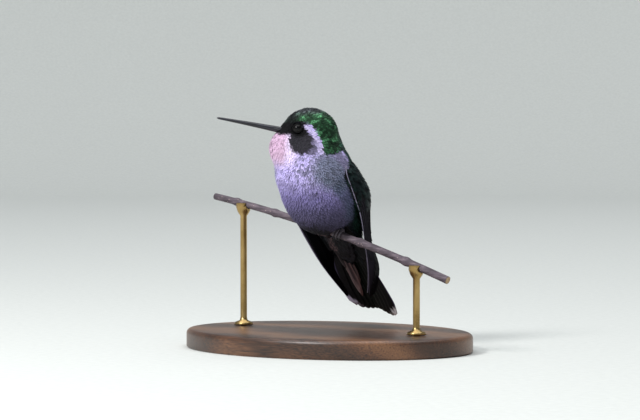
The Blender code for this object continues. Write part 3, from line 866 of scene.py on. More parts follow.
def kept_apart(points, spacing):
    """The throws that keep their distance from all kept before them."""
    cell = spacing.max()
    homes = np.floor(points / cell).astype(int)
    steps = [(x, y, z) for x in (-1, 0, 1) for y in (-1, 0, 1) for z in (-1, 0, 1)]
    grid = {}
    kept = []
    for number, (x, y, z) in enumerate(homes.tolist()):
        near = [other for i, j, k in steps for other in grid.get((x + i, y + j, z + k), ())]
        gaps = np.linalg.norm(points[near] - points[number], axis=1)
        if near and (gaps < spacing[number]).any():
            continue
        grid.setdefault((x, y, z), []).append(number)
        kept.append(number)
    return np.array(kept)


# %% [markdown]
# ## Laying feathers on a surface
# Every feather is slid to its root, turned to the lie of the coat and then bent to the body by
# finding the surface below each of its points. It rises from root to tip, so each tip rests on
# the next feather's back and shows its edge. Its margin and its middle take the two colours of
# the plumage map. All the feathers of a region are joined into one mesh from arrays.

# %% Bend feathers to a surface and join them
LIE_JITTER = math.radians(7)
SIZE_RANGE = (0.85, 1.2)
TIP_RANGE = (0.86, 1.04)
ROOT_LIFT = 0.03 * MM
PATCH_SIZE = 0.003  # of each feather's place on the unfolded body


def along_surface(ways, normals):
    """The ways flattened onto the surface and turned a little at random."""
    ways = ways - normals * (ways * normals).sum(axis=1)[:, None]
    ways /= np.linalg.norm(ways, axis=1)[:, None]
    turn = generator.normal(0, LIE_JITTER, len(ways))[:, None]
    return ways * np.cos(turn) + np.cross(normals, ways) * np.sin(turn)


def laid(surface, at, up, way, spacing, depth, columns, rows):
    """All the feathers' points, bent over the surface, with their shares of the outline."""
    across, along, outline, faces = flat_feather(columns, rows)
    aside = np.cross(way, up)
    size = spacing[:, None] * generator.uniform(*SIZE_RANGE, (len(at), 1))
    sideways = outline[:, 0] * size * WIDTH_OVER_SPACING
    onward = outline[:, 1] * size * LENGTH_OVER_SPACING
    flat = at[:, None] + aside[:, None] * sideways[..., None] + way[:, None] * onward[..., None]
    tips = depth[:, None] * generator.uniform(*TIP_RANGE, (len(at), 1))
    lift = tips * along**0.8 * (1 - 0.35 * across**2) + ROOT_LIFT
    points = flat.reshape(-1, 3)
    for number, (point, height) in enumerate(zip(points, lift.reshape(-1))):
        on_skin, outward, _face, _gap = surface.find_nearest(Vector(point))
        points[number] = on_skin + outward * height
    count = len(across)
    all_faces = (faces[None] + np.arange(len(at))[:, None, None] * count).reshape(-1, 4)
    return points, all_faces, np.tile(across, len(at)), np.tile(along, len(at))


def margin_share(across, along):
    """1 on a small feather's edges, its tip and its hidden root, 0 in its middle."""
    sides = rising(0.35, 0.95, np.abs(across)) * along
    ends = np.maximum(rising(0.72, 1.0, along), rising(0.3, 0.0, along))
    return np.maximum(sides, ends)


def coat_piece(name, bed, looks, finish, slot, centre, grain=(6, 6)):
    """One part of the coat: bed is (surface, roots, normals, ways, spacing, depth)."""
    points, faces, across, along = laid(*bed, *grain)
    per_feather = len(points) // len(bed[1])
    edge, middle, glint = (np.repeat(look, per_feather, axis=0) for look in looks)
    mesh = bpy.data.meshes.new(name)
    mesh.from_pydata(points, [], faces)
    rim = margin_share(across, along)
    hue = edge * rim[:, None] + middle * (1 - rim[:, None])
    per_point_attributes(mesh, hue, glint * (1 - rim))
    spread_uv(mesh, "Vane", np.stack([across / 2 + 0.5, along], axis=1))
    homes = np.repeat(unfolded(bed[1], centre, body_half), per_feather, axis=0)
    patch = np.stack([across, along * 2 - 1], axis=1) * PATCH_SIZE / 2
    spread_uv(mesh, "OFBake", homes + patch)
    return placed(name, mesh, finish, slot)


# %% [markdown]
# ## The coat on head and body
# The lie of the coat runs away from the bill over the whole head, turns down the neck, and then
# follows the body to the tail. The feathers are finest at the eye and the bill. The crown's
# feathers are small mirrors that catch the light in turn, so each gets a brightness of its own,
# in loose patches; the others differ only slightly.

# %% Say how close the feathers stand and where the body is covered
NECK_HEIGHT = 26  # in millimetres above the twig
BODY_HEIGHTS = (-3, 3, 18, NECK_HEIGHT)
BODY_SPACINGS = (0.88, 0.62, 0.49, 0.46)
FACE_SPACING = 0.32
HEAD_SPACING = 0.58
WING_REACH = 4 * MM  # how far over the skin a wing is looked for
HIDDEN_WITHIN = 0.45 * MM  # a wing this close over the skin hides it
FOOT_REACH = 0.9 * MM  # a foot or the twig this close hides it too
TAIL_REACH = 1.6 * MM  # and so does the tail
LID_WIDTH = 0.1 * MM  # left bare round the eye
BILL_COLLAR = 1.1 * MM  # and round the bill's root
over_wings = tree_of(*ARMS, "wing_left_flight", "wing_right_flight")
over_feet = tree_of("perch", "leg_left", "leg_right")
over_tail = tree_of("tail")


def body_spacing(points):
    """How far apart the feathers stand: finest at the eye and the bill, coarsest below."""
    height = in_body(points)[:, 2]
    places = in_head(points)
    to_eye = np.linalg.norm(places - np.array(EYE_SPOT), axis=1)
    to_bill = np.linalg.norm(places - np.array(BILL_PLACE), axis=1)
    away = np.clip(np.minimum((to_eye - 1.9) / 5, (to_bill - 1.5) / 6), 0, 1)
    above = FACE_SPACING + (HEAD_SPACING - FACE_SPACING) * away
    below = np.interp(height, BODY_HEIGHTS, BODY_SPACINGS)
    return MM * np.where(height > NECK_HEIGHT, above, below)


def in_the_open(point, normal):
    """False inside a wing, and where something lies close over the skin."""
    start, way = Vector(point), Vector(normal)
    _hit, facing, _face, gap = over_wings.ray_cast(start, way, WING_REACH)
    in_wing = gap is not None and (facing.dot(way) > 0 or gap < HIDDEN_WITHIN)
    at_foot = over_feet.ray_cast(start, way, FOOT_REACH)[0] is not None
    at_tail = over_tail.ray_cast(start, way, TAIL_REACH)[0] is not None
    at_eye = to_nearest_eye(start) <= EYE_RADIUS + LID_WIDTH
    at_bill = (start - BILL_ROOT).length <= BILL_COLLAR
    return not (in_wing or at_foot or at_tail or at_eye or at_bill)

# %% Root the body's feathers and turn them to the lie of the coat
THROWS = 200000
LEAN_BACK = math.radians(30)
DOWN_THE_BODY = np.array((0, math.sin(LEAN_BACK), -math.cos(LEAN_BACK)))
throws = thrown(skin_mesh, THROWS)
roots = throws[kept_apart(throws, body_spacing(throws))]
normals = np.array([ground.find_nearest(Vector(root))[1] for root in roots])
open_air = [in_the_open(root, normal) for root, normal in zip(roots, normals)]
roots, normals = roots[open_air], normals[open_air]
from_bill = roots - np.array(BILL_ROOT)
from_bill /= np.linalg.norm(from_bill, axis=1)[:, None]
on_top = rising(20, 29, in_body(roots)[:, 2])[:, None]
ways = along_surface(from_bill * on_top + DOWN_THE_BODY * (1 - on_top), normals)
print("feather roots", len(roots))

# %% Give each feather its look and make the five parts of the coat
HEAD_ABOVE = 25  # on the body
CHIN_BELOW = -8.5  # on the head
BREAST_ABOVE = 15
margin, middle, glint, cap = plumage_at(roots)
# Painted glints: crown feathers, in loose patches, get brighter middles as if they caught the
# light.
glints = 0.7 + 2.0 * rising(0.45, 0.8, patches(roots, 1.5, 5))
glints *= generator.uniform(0.5, 1.6, len(roots))
mirror = np.where(cap > 0.5, glints, 1) * generator.normal(1, 0.09, len(roots))
middle = middle * mirror[:, None]
depth = np.array([coat_depth(Vector(root)) for root in roots])
spacing = body_spacing(roots)
_across, back_of, height_of = in_body(roots).T
head_part = (height_of > HEAD_ABOVE) & (in_head(roots)[:, 2] > CHIN_BELOW)
crown_part = head_part & (cap > 0.5)
back_part = ~head_part & (back_of > np.interp(height_of, WING_HEIGHT, WING_BACK) + 0.5)
breast_part = ~head_part & ~back_part & (height_of > BREAST_ABOVE)
for name, part, finish, slot, centre in (
    ("coat_crown", crown_part, scaly, "crown", HEAD),
    ("coat_face", head_part & ~crown_part, plumage, "plumage", HEAD),
    ("coat_breast", breast_part, plumage, "plumage", body_centre),
    ("coat_belly", ~head_part & ~back_part & ~breast_part, plumage, "plumage", body_centre),
    ("coat_back", back_part, scaly, "crown", body_centre),
):
    bed = (ground, roots[part], normals[part], ways[part], spacing[part], depth[part])
    looks = (margin[part], middle[part], glint[part])
    coat_piece(name, bed, looks, finish, slot, centre)

# %% [markdown]
# ## Long feathers
# A flight feather is a stiff vane on a shaft. It is drawn once as a thin closed leaf, a flat grid
# thickened by a solidify, and then bent to a rule of its own: where its middle line runs, how
# wide it is there, and how high it lies in the stack. The shafts are separate tapering rods,
# since they catch the light as fine lines in the dark wing.

# %% Draw one long feather, lying flat
VANE_THICKNESS = 0.05 * MM


def flat_leaf(columns, rows):
    """A thin closed leaf: across (-1 to 1), along (0 to 1), side (1 above, -1 below), faces."""
    bm = bmesh.new()
    bmesh.ops.create_grid(bm, x_segments=columns, y_segments=rows, size=1)
    bmesh.ops.solidify(bm, geom=bm.faces[:], thickness=0.01)
    bmesh.ops.recalc_face_normals(bm, faces=bm.faces)
    bm.verts.index_update()
    level = sum(vert.co.z for vert in bm.verts) / len(bm.verts)
    across = np.array([vert.co.x for vert in bm.verts])
    along = np.array([0.5 + vert.co.y / 2 for vert in bm.verts])
    side = np.array([1 if vert.co.z > level else -1 for vert in bm.verts])
    corners = [[vert.index for vert in face.verts] for face in bm.faces]
    bm.free()
    return np.clip(across, -1, 1), np.clip(along, 0, 1), side, np.array(corners)

# %% Join long feathers and their shafts
SHAFT_RADIUS = 0.1 * MM
SHAFT_TAPER = (1.2, 0.35)  # from root to tip


def quills(name, places, colours, finish, slot, *stands_for, grain=(8, 26)):
    """Long feathers joined: each place(across, along, side) with its colours(across, along)."""
    across, along, side, faces = flat_leaf(*grain)
    points = [place(a, l, s) for place in places for a, l, s in zip(across, along, side)]
    looks = [colour(across, along) for colour in colours]
    starts = np.arange(len(places))[:, None, None] * len(across)
    mesh = bpy.data.meshes.new(name)
    mesh.from_pydata(points, [], (faces[None] + starts).reshape(-1, 4))
    hue, glint = (np.concatenate(look) for look in zip(*looks))
    per_point_attributes(mesh, hue, glint)
    shares = np.stack([across / 2 + 0.5, along], axis=1)
    spread_uv(mesh, "Vane", np.tile(shares, (len(places), 1)))
    return placed(name, mesh, finish, slot, *stands_for)


def shafts(name, places, finish, slot, line, reach=0.95):
    """Tapering shafts just proud of a line along each long feather."""
    bm = bmesh.new()
    for place in places:
        path = lambda share: place(line, share * reach, 1)
        radius = lambda share: SHAFT_RADIUS * blend(*SHAFT_TAPER, share)
        rod_into(bm, 6, 18, round_rod(path, radius, 0.8))
    return finished(name, bm, finish, slot)


def leaf_width(along, widest=0.5, root=0.35, tip_from=0.72, blunt=0.05):
    """The outline of a long feather as a share of its full width, blunt where it ends."""
    swelling = blend(root, 1, math.sin(min(along / widest, 1) * math.pi / 2))
    past = max(along - tip_from, 0) / (1 - tip_from)
    return swelling * math.sqrt(max(1 - past**2.2, blunt**2))

# %% Finish the vanes, the shafts and the pale wing edge
def tinted(hue, share, colour):
    """Colours, one to a point, with another laid over them by each point's share."""
    share = np.asarray(share)[:, None]
    return hue * (1 - share) + share * colour


quill_look = coat_finish("flight feather", 70, 0.05, 0.65, 0.0, 0.05)


def shaft_finish(name, dark, light):
    """Horn, a little mottled."""
    made, tree, shader = new_finish(name)
    mottle = spots(tree, 900)
    wired(tree, shader, Base_Color=ramp(tree, mottle, (0.3, dark), (0.7, light)), Roughness=0.45)
    bumped(tree, shader, mottle, 0.02 * MM, 0.4)
    return made


shaft_look = shaft_finish("feather shaft", paint(20, 18, 22), paint(42, 39, 46))
edge_look = shaft_finish("pale wing edge", paint(104, 98, 118), paint(150, 142, 168))

# %% [markdown]
# ## The wings
# A folded wing is a fan shut along its leading edge. Ten primaries run to the tip and six
# secondaries lie above them, each overlapping the one in front and ending earlier, so the rear
# edge is a row of steps. They share the curves that the wing's solid was swept along. Each
# feather's front edge stays in view and its rear edge dives under the next one. Down the front
# runs the pale outer web of the first feather, made as a thin tapering rod sunk into the vanes.

# %% Set out the folded wing
WING_FRONT = (
    (9.8, -3.6, 23.6),
    (12.3, -6.4, 18.6),
    (13.5, -4.2, 12.0),
    (13.6, -0.4, 4.4),
    (11.7, 4.2, -4.2),
    (9.0, 9.5, -13.0),
    (4.4, 15.2, -22.0),
)
WING_REAR = (
    (6.4, 1.6, 24.0),
    (4.4, 7.4, 19.6),
    (3.6, 11.4, 13.0),
    (4.2, 14.4, 5.4),
    (6.4, 16.2, -3.4),
    (9.8, 16.4, -12.4),
    (5.6, 17.6, -22.0),
)
WING_RISE = (0.9, 3.2, 4.6, 2.4, 0.6, 0.4, 0.2)
WING_DEPTHS = (3.0, 0.8)  # of the solid, in millimetres, at the shoulder and further out
THIN_FROM = 0.62  # share of the wing's length
FRONT_CURVE = [Vector(point) * MM for point in WING_FRONT]
REAR_CURVE = [Vector(point) * MM for point in WING_REAR]
RISE_CURVE = [Vector((rise, 0, 0)) * MM for rise in WING_RISE]


def wing_place(side, share, chord, sunk):
    """A point of the wing: share along it, chord from front (0) to rear (1), sunk in its top."""
    flip = Vector((side, 1, 1))
    front, rear = curve(FRONT_CURVE, share) * flip, curve(REAR_CURVE, share) * flip
    line = rear - front
    outward = (line.cross(UP) * side).normalized()
    bulge = curve(RISE_CURVE, share).x * math.sin(math.pi * min(max(chord, 0), 1) ** 0.85)
    return PERCH + front + line * chord + outward * (bulge - sunk)


def wing_thickness(share):
    """How thick the wing's solid is at this share of its length."""
    return blend(*WING_DEPTHS, min(share / THIN_FROM, 1) ** 0.8) * MM

# %% Place each flight feather in the fan
PRIMARY_TIPS = (1, 0.985, 0.965, 0.94, 0.91, 0.875, 0.84, 0.8, 0.755, 0.71)
SECONDARY_TIPS = (0.665, 0.62, 0.585, 0.555, 0.53, 0.51)
QUILL_TIPS = PRIMARY_TIPS + SECONDARY_TIPS  # as shares of the wing's length
QUILL_HALF_WIDTH = 2.35 * MM
QUILL_ROOT = 0.28  # share of the wing's length
QUILL_TILT = 0.7  # share of the wing's thickness that a feather dives from front to rear
QUILL_SUNK = 0.12 * MM
UNDER_THE_COVERTS = 0.6 * MM  # how much deeper the roots lie
BARE_FROM = 0.34  # share of the wing where they begin to rise out of the coverts
RISING_OVER = 0.1
FANNED = 0.93  # share of the wing's breadth over which the front edges are spread


def wing_quill(side, number, tip):
    """The rule of one flight feather, counted from the front edge."""
    front_edge = number / len(QUILL_TIPS) * FANNED

    def place(across, along, above):
        share = blend(QUILL_ROOT, tip, along)
        chord_length = (curve(REAR_CURVE, share) - curve(FRONT_CURVE, share)).length
        half = QUILL_HALF_WIDTH / chord_length
        width = half * leaf_width(along, 0.2, 0.5)
        chord = front_edge + half * 0.5 + width * (across + 0.5)
        sunk = QUILL_SUNK + wing_thickness(share) * QUILL_TILT * (across + 1) / 2
        sunk += UNDER_THE_COVERTS * (1 - eased((share - BARE_FROM) / RISING_OVER))
        sunk -= above * VANE_THICKNESS / 2
        return wing_place(side, share, min(max(chord, 0), 1), sunk)

    return place

# %% Colour the flight feathers and build the fans
EDGE_REACH = (0.1, 0.96)  # the pale edge, as shares of the wing's length
EDGE_SUNK = (-0.12 * MM, 0.16 * MM)  # proud at the shoulder, sunk at the tip
EDGE_RADIUS = 0.17 * MM


def quill_colours(number):
    """Nearly black, with a narrow pale front edge that is clearest on the outermost feather."""
    pale_share = 0.3 if number == 0 else 0.08

    def colours(across, along):
        hue = np.tile(paint(4, 4, 7), (len(across), 1))
        hue = tinted(hue, rising(0.2, 1, across), paint(10, 9, 13))
        edge = rising(-0.7, -1.0, across) * rising(1, 0.9, along) * pale_share
        return tinted(hue, edge, paint(168, 158, 188)), np.full(len(across), 0.12)

    return colours


def front_edge_into(bm, side):
    """Adds the pale rod down the front of the wing, finer towards the tip."""
    line = lambda share: wing_place(side, blend(*EDGE_REACH, share), 0, blend(*EDGE_SUNK, share))
    radius = lambda share: EDGE_RADIUS * blend(1, 0.4, share)
    rod_into(bm, 8, 90, round_rod(line, radius, 0.8))


for word, side in SIDES:
    rules = [wing_quill(side, number, tip) for number, tip in enumerate(QUILL_TIPS)]
    looks = [quill_colours(number) for number in range(len(QUILL_TIPS))]
    node = f"wing_{word}_flight"
    quills(f"wing_{word}_quills", rules, looks, quill_look, "flight_feathers", node)
    shafts(f"wing_{word}_shafts", rules, shaft_look, "flight_feathers", -0.5)
    bm = bmesh.new()
    front_edge_into(bm, side)
    finished(f"wing_{word}_edge", bm, edge_look, "flight_feathers")

# %% [markdown]
# ## Wing coverts
# Small scale-like feathers clothe the arm of the wing, growing longer towards the flight feathers
# until they cover their roots. The arm is a closed pad swept between the same two curves as the
# wing. Its coverts are laid on a bed of the pad and a sheet that carries on beyond it, so that
# the last rows run out smoothly over the quills. They are a dark bottle green and leave the pale
# front edge bare.

# %% Shape the arm and the bed of its coverts
ARM_END = 0.42  # share of the wing's length
ARM_SUNK = 0.45 * MM
BED_END = 0.75  # share of the wing's length
BIRD_MIDDLE = on_bird((0, 2, 14))


def arm_place(side):
    """The rule of the pad: round it from front to rear over the top, and back below."""

    def place(turn, along):
        angle = turn * math.tau
        chord = 0.5 - 0.495 * math.cos(angle)
        share = along * ARM_END
        thick = wing_thickness(share) - 2 * ARM_SUNK
        return wing_place(side, share, chord, ARM_SUNK + thick * (0.5 - 0.5 * math.sin(angle)))

    return place


def arm_and_bed(side):
    """The pad as a mesh, and a search tree of the pad with the sheet beyond it."""
    bm = bmesh.new()
    rod_into(bm, 40, 40, arm_place(side))
    arm = bpy.data.meshes.new("arm")
    bm.to_mesh(arm)
    over_quills = lambda across, along: wing_place(side, along * BED_END, across, ARM_SUNK)
    _verts, sheet = sheet_into(bm, 30, 60, over_quills)
    bm.normal_update()
    if sum(face.normal.dot(face.calc_center_median() - BIRD_MIDDLE) for face in sheet) < 0:
        bmesh.ops.reverse_faces(bm, faces=sheet)
    bed = BVHTree.FromBMesh(bm)
    bm.free()
    return arm, bed

# %% Root the coverts and clothe the arm
ARM_THROWS = 16000
COVERT_SPACINGS = (0.62, 1.42)  # at the shoulder and at the end of the arm
COVERT_DEPTH = 0.55 * MM
FRONT_BARE = 0.5 * MM  # no coverts over the pale edge
BEND_SHARE = 0.2  # of the front edge, above which it is covered


def shows(point, normal, down):
    """True where the pad is clear of the body and of the quills."""
    skin_point, skin_normal, _face, _gap = ground.find_nearest(point)
    clear = (point - skin_point).dot(skin_normal) > 0.1 * MM
    return clear and ground.ray_cast(point, normal, 0.5 * MM)[0] is None and normal.dot(down) < 0.8


def covert_bed(side, arm, bed):
    """Where the coverts root, and which way, how close and how deep they lie."""
    middle = [np.array(wing_place(side, share, 0.5, 0)) for share in (0, 0.1, 0.2, 0.3, ARM_END)]
    front = [np.array(wing_place(side, share, 0, 0)) for share in np.linspace(0, 0.5, 12)]
    down = Vector(middle[-1] - middle[1]).normalized()
    at = thrown(arm, ARM_THROWS)
    _, reached = away_from(at, *middle)
    first, last = COVERT_SPACINGS
    spaced = MM * (first + (last - first) * reached)
    kept = kept_apart(at, spaced)
    at, spaced = at[kept], spaced[kept]
    up = np.array([bed.find_nearest(Vector(place))[1] for place in at])
    edge_gap, edge_share = away_from(at, *front)
    open_air = [shows(Vector(place), Vector(way), down) for place, way in zip(at, up)]
    kept = np.array(open_air) & ((edge_gap > FRONT_BARE) | (edge_share < BEND_SHARE))
    at, up, spaced = at[kept], up[kept], spaced[kept]
    ways = along_surface(np.tile(down, (len(at), 1)), up)
    return bed, at, up, ways, spaced * 1.1, np.full(len(at), COVERT_DEPTH)


def covert_looks(at):
    """Margin, middle and glint of the coverts, in patches of dusk and green."""
    margin = np.tile(paint(9, 12, 16), (len(at), 1))
    dusk = np.tile(paint(14, 20, 26), (len(at), 1))
    return margin, tinted(dusk, patches(at, 1.6, 9), paint(19, 42, 38)), np.full(len(at), 0.5)


for word, side in SIDES:
    arm, bed = arm_and_bed(side)
    node = f"wing_{word}_coverts"
    laid_bed = covert_bed(side, arm, bed)
    looks = covert_looks(laid_bed[1])
    coat_piece(f"coat_wing_{word}", laid_bed, looks, scaly, "crown", centre_of(node), (6, 8))
    hue = np.tile(paint(12, 15, 18), (len(arm.vertices), 1))
    per_point_attributes(arm, hue, np.zeros(len(arm.vertices)))
    placed(f"wing_{word}_arm", arm, skin_look, "crown", node)

# %% [markdown]
# ## The tail
# Ten tail feathers open into a shallow fan, the middle pair on top and each pair outwards lying
# under the one before. They are broad and blunt, nearly black with a bronze-green tinge, and
# the outer ones end in pale tips, white at the bird's left corner and greyer at its right. The
# fan follows the same lean, swing and roll as its solid.

# %% Set out the tail
TAIL_LEAN = math.radians(42)  # from the vertical
TAIL_SWING = math.radians(2.6)  # towards the bird's right
TAIL_ROLL = math.radians(10)
TAIL_LENGTH = 42.6 * MM
TAIL_ROOT_HALF = 4.2 * MM
TAIL_TIP_HALF = 12.0 * MM
TAIL_ARCH = 1.3 * MM
TAIL_PLACES = (0.085, 0.27, 0.455, 0.64, 0.825)  # middle lines, as shares of the half width
TAIL_VANE_HALF = 0.19
TAIL_ENDS = (0.55, 0.55, 0.55, 0.55, 0.25)  # how blunt each pair ends
TAIL_TOP_LAYER = 0.3 * MM
TAIL_STEP = 0.13 * MM  # each pair lies this much under the last
PALE_FROM = (1.2, 0.99, 0.98, 0.965, 0.925)  # share of its length; past 1 there is no pale tip
tail_down = Vector((0, math.sin(TAIL_LEAN), -math.cos(TAIL_LEAN)))
TAIL_AXIS = tail_down * math.cos(TAIL_SWING) - LEFT * math.sin(TAIL_SWING)
tail_left = LEFT * math.cos(TAIL_SWING) + tail_down * math.sin(TAIL_SWING)
TAIL_SIDE = Matrix.Rotation(TAIL_ROLL, 3, TAIL_AXIS) @ tail_left
TAIL_TOP = TAIL_SIDE.cross(TAIL_AXIS)
TAIL_ROOT = on_bird((0, 1.8, 3.8))


def tail_place(across, length, height):
    """A point of the tail: across from -1 to 1, length along it, height above its middle."""
    share = length / TAIL_LENGTH
    spread = blend(TAIL_ROOT_HALF, TAIL_TIP_HALF, math.sin(min(share, 1) * math.pi / 2))
    rounding = 1 - 0.16 * max(share - 0.8, 0) / 0.2
    side = TAIL_SIDE * across * spread * rounding
    arched = height - TAIL_ARCH * across**2 * share
    return TAIL_ROOT + TAIL_AXIS * length + side + TAIL_TOP * arched

# %% Place, colour and build the tail feathers
def tail_feather(side, pair):
    """The rule of one tail feather, in pairs counted from the middle."""
    middle = side * TAIL_PLACES[pair]
    outer = TAIL_PLACES[pair]
    reach = TAIL_LENGTH * (1 - 0.085 * outer**4) - 1.4 * MM * (1 - outer) ** 2

    def place(across, along, above):
        width = TAIL_VANE_HALF * leaf_width(along, 0.4, 0.8, 0.94, TAIL_ENDS[pair])
        length = reach * (along - 0.012 * across**2 * along**8)
        height = TAIL_TOP_LAYER - pair * TAIL_STEP + above * VANE_THICKNESS / 2
        return tail_place(middle + across * width, length, height)

    return place


def tail_colours(side, pair):
    """Black-brown, greener in the middle, with a grey outer edge and painted sheen; the outer
    pairs end pale.
    """

    def colours(across, along):
        outward = across * side
        hue = np.tile(blend(paint(18, 24, 22), paint(16, 15, 19), pair / 4), (len(across), 1))
        # The outermost pair's outer web: its own grey, lightened towards lavender as a painted
        # sheen.
        hue = tinted(hue, rising(0.55, 1.0, outward) * (pair == 4), paint(92, 84, 118))
        tip = rising(PALE_FROM[pair], PALE_FROM[pair] + 0.01, along + 0.045 * outward)
        white = paint(255, 250, 255) if side > 0 else paint(176, 168, 190)
        pale = blend(paint(60, 58, 66), white, max(pair - 2, 0) / 2)
        return tinted(hue, tip, pale), np.full(len(across), 0.28 - 0.05 * pair)

    return colours


tail_order = [(side, pair) for pair in range(5) for side in (1, -1)]
rules = [tail_feather(side, pair) for side, pair in tail_order]
looks = [tail_colours(side, pair) for side, pair in tail_order]
quills("tail_feathers", rules, looks, quill_look, "flight_feathers", "tail")
shafts("tail_shafts", rules, shaft_look, "flight_feathers", -0.1, 0.9)

# %% [markdown]
# ## Tail coverts
# The roots of the tail are hidden by coverts. Above they are green and reach halfway down it.
# Below they are soft and dusky, and the longest, with buff-brown margins, have slipped to the
# right, where they make a brown streak. A tuft at either flank closes the gap between the tail
# and the wing. Each covert lies on the feathers it covers.

# %% Say how a tail covert lies and how it is coloured
COVERT_LAYERS = 3
COVERT_LAYER = 0.16 * MM
COVERT_STAND = 0.55 * MM  # from the middle of the tail to the first layer
COVERT_LIFT = 0.3 * MM  # how much higher the root lies
COVERT_CUP = 0.25 * MM  # how far the edges bend in


def tail_covert(middle, start, end, half, number, face):
    """A covert on the upper (face 1) or lower (face -1) side of the tail."""
    layer = COVERT_STAND + number % COVERT_LAYERS * COVERT_LAYER

    def place(across, along, above):
        width = half * leaf_width(along, 0.5, 0.5, 0.7)
        stand_off = layer + COVERT_LIFT * (1 - along) - COVERT_CUP * across**2
        height = face * stand_off + above * VANE_THICKNESS / 2
        length = blend(start, end, along) * TAIL_LENGTH
        return tail_place(middle + across * width, length, height)

    return place


def covert_colours(margin, middle, glint):
    """The colours of one tail covert, whose margin is of another shade."""

    def colours(across, along):
        rim = np.maximum(rising(0.3, 0.9, np.abs(across)), rising(0.8, 1, along))
        return tinted(middle, rim, margin), np.full(len(across), glint)

    return colours

# %% Lay the coverts below the tail and at its flanks
UNDER_COVERTS = 18
STREAK_MIDDLE = -0.27  # across the tail
STREAK_HALF = 0.17
UNDER_END = 0.4  # share of the tail's length
STREAK_LONGER = 0.42
FLANK_TUFT = (1.28, 1.1, 0.9)  # places to either side of the tail's root

rules, looks = [], []
for number in range(UNDER_COVERTS):
    middle = blend(-0.62, 0.6, number / (UNDER_COVERTS - 1)) + generator.uniform(-0.03, 0.03)
    brown = math.exp(-(((middle - STREAK_MIDDLE) / STREAK_HALF) ** 2))
    end = UNDER_END + STREAK_LONGER * brown + generator.uniform(-0.05, 0.05)
    rules.append(tail_covert(middle, 0.02, end, 0.19 - 0.05 * brown, number, -1))
    edge = blend(paint(34, 38, 42), paint(134, 108, 110), brown)
    looks.append(covert_colours(edge, blend(paint(22, 25, 27), paint(62, 50, 54), brown), 0.05))
for number, outward in enumerate(FLANK_TUFT):
    for _word, side in SIDES:
        rules.append(tail_covert(side * outward, -0.1, 0.37, 0.28, number, -1))
        looks.append(covert_colours(paint(40, 40, 44), paint(24, 26, 28), 0.05))
quills("undertail_coverts", rules, looks, quill_look, "plumage", grain=(8, 16))

# %% Lay the coverts above the tail
UPPER_COVERTS = 13
UPPER_END = 0.56  # share of the tail's length

rules, looks = [], []
for number in range(UPPER_COVERTS):
    middle = blend(-0.75, 0.75, number / (UPPER_COVERTS - 1))
    end = UPPER_END - 0.2 * abs(middle) + generator.uniform(-0.02, 0.02)
    rules.append(tail_covert(middle, 0, end, 0.22, number, 1))
    looks.append(covert_colours(paint(16, 26, 24), paint(32, 76, 54), 0.6))
quills("uppertail_coverts", rules, looks, quill_look, "plumage", grain=(8, 14))

# %% [markdown]
# ## The bill
# The bill is a slender pair of horn sheaths with a slight droop. The upper has a keel along its
# top and a covered slit for the nostril near the feathers; the lower is shallower and fits under
# its edges. Each is a rolled sheet whose section changes along the way, which keeps the cutting
# edges crisp, and both are rounded off to a fine tip.

# %% Shape the two halves of the bill
BILL_LENGTH = 21.0 * MM
BILL_HALF_WIDTH = 1.15 * MM
BILL_HALF_HEIGHT = 1.1 * MM
BILL_CLIMB = math.tan(math.radians(8))
BILL_DROOP = 0.35 * MM
BILL_OVERLAP = 0.05 * MM  # how far the lower half tucks into the upper
TIP_SIZE = 0.34
TIP_ROUNDED = 0.95  # share of the bill from which the tip is rounded off
ARCH_SHARE = 0.75  # of the turn round a half; the rest is its flat side
KEEL = 0.1
NOSTRIL = (0.085, 0.05)  # its middle and half length, as shares of the bill
NOSTRIL_HEIGHT = (0.42, 0.16)  # and up the side
NOSTRIL_DEPTH = 0.24


def bump(value, middle, half):
    """1 at the middle, falling away smoothly to either side."""
    return math.exp(-(((value - middle) / half) ** 2))


def bill_axis(share):
    """The line along which the two halves meet."""
    run = share * BILL_LENGTH
    rise = BILL_CLIMB * run - BILL_DROOP * share**2
    return BILL_ROOT + HEAD_FORWARD * run + HEAD_UP * rise


def bill_half(half):
    """The rule for the upper (1) or lower (-1) half of the bill."""

    def place(turn, share):
        size = blend(TIP_SIZE, 1, (1 - share) ** 1.05)
        past = max(share - TIP_ROUNDED, 0) / (1 - TIP_ROUNDED)
        size *= math.sqrt(max(1 - past**2, 0.004))
        arc = math.pi * min(turn / ARCH_SHARE, 1)
        floor = max(turn / ARCH_SHARE - 1, 0) * 3
        across = math.cos(arc) if floor == 0 else 2 * floor - 1
        up = math.sin(arc) ** 0.85 if half > 0 else math.sin(arc) * 0.85
        keel = KEEL * bump(across, 0, 0.16) if half > 0 and floor == 0 else 0
        hollow = bump(share, *NOSTRIL) * bump(up, *NOSTRIL_HEIGHT)
        across *= 1 - NOSTRIL_DEPTH * hollow if half > 0 else 0.94
        above = half * (BILL_HALF_HEIGHT * size * (up + keel) - BILL_OVERLAP / 2)
        return bill_axis(share) + HEAD_SIDE * across * BILL_HALF_WIDTH * size + HEAD_UP * above

    return place

# %% Finish the bill in horn
def horn_finish():
    """Satin black-grey horn, faintly mottled and pitted."""
    made, tree, shader = new_finish("horn")
    fine = spots(tree, 1500, 5, 0.6)
    broad = spots(tree, 260)
    shade = maths(tree, "MULTIPLY_ADD", broad, 0.5, maths(tree, "MULTIPLY", fine, 0.5))
    tint = ramp(tree, shade, (0.3, paint(15, 15, 21)), (0.72, paint(34, 34, 46)))
    wired(tree, shader, Base_Color=tint, Roughness=0.36)
    wired(tree, shader, Coat_Weight=0.15, Coat_Roughness=0.3)
    bumped(tree, shader, fine, 0.03 * MM, 0.35)
    return made


horn = horn_finish()
for word, half in (("upper", 1), ("lower", -1)):
    bm = bmesh.new()
    rod_into(bm, 48, 72, bill_half(half))
    finished(f"bill_{word}_sheath", bm, horn, "horn", f"bill_{word}")

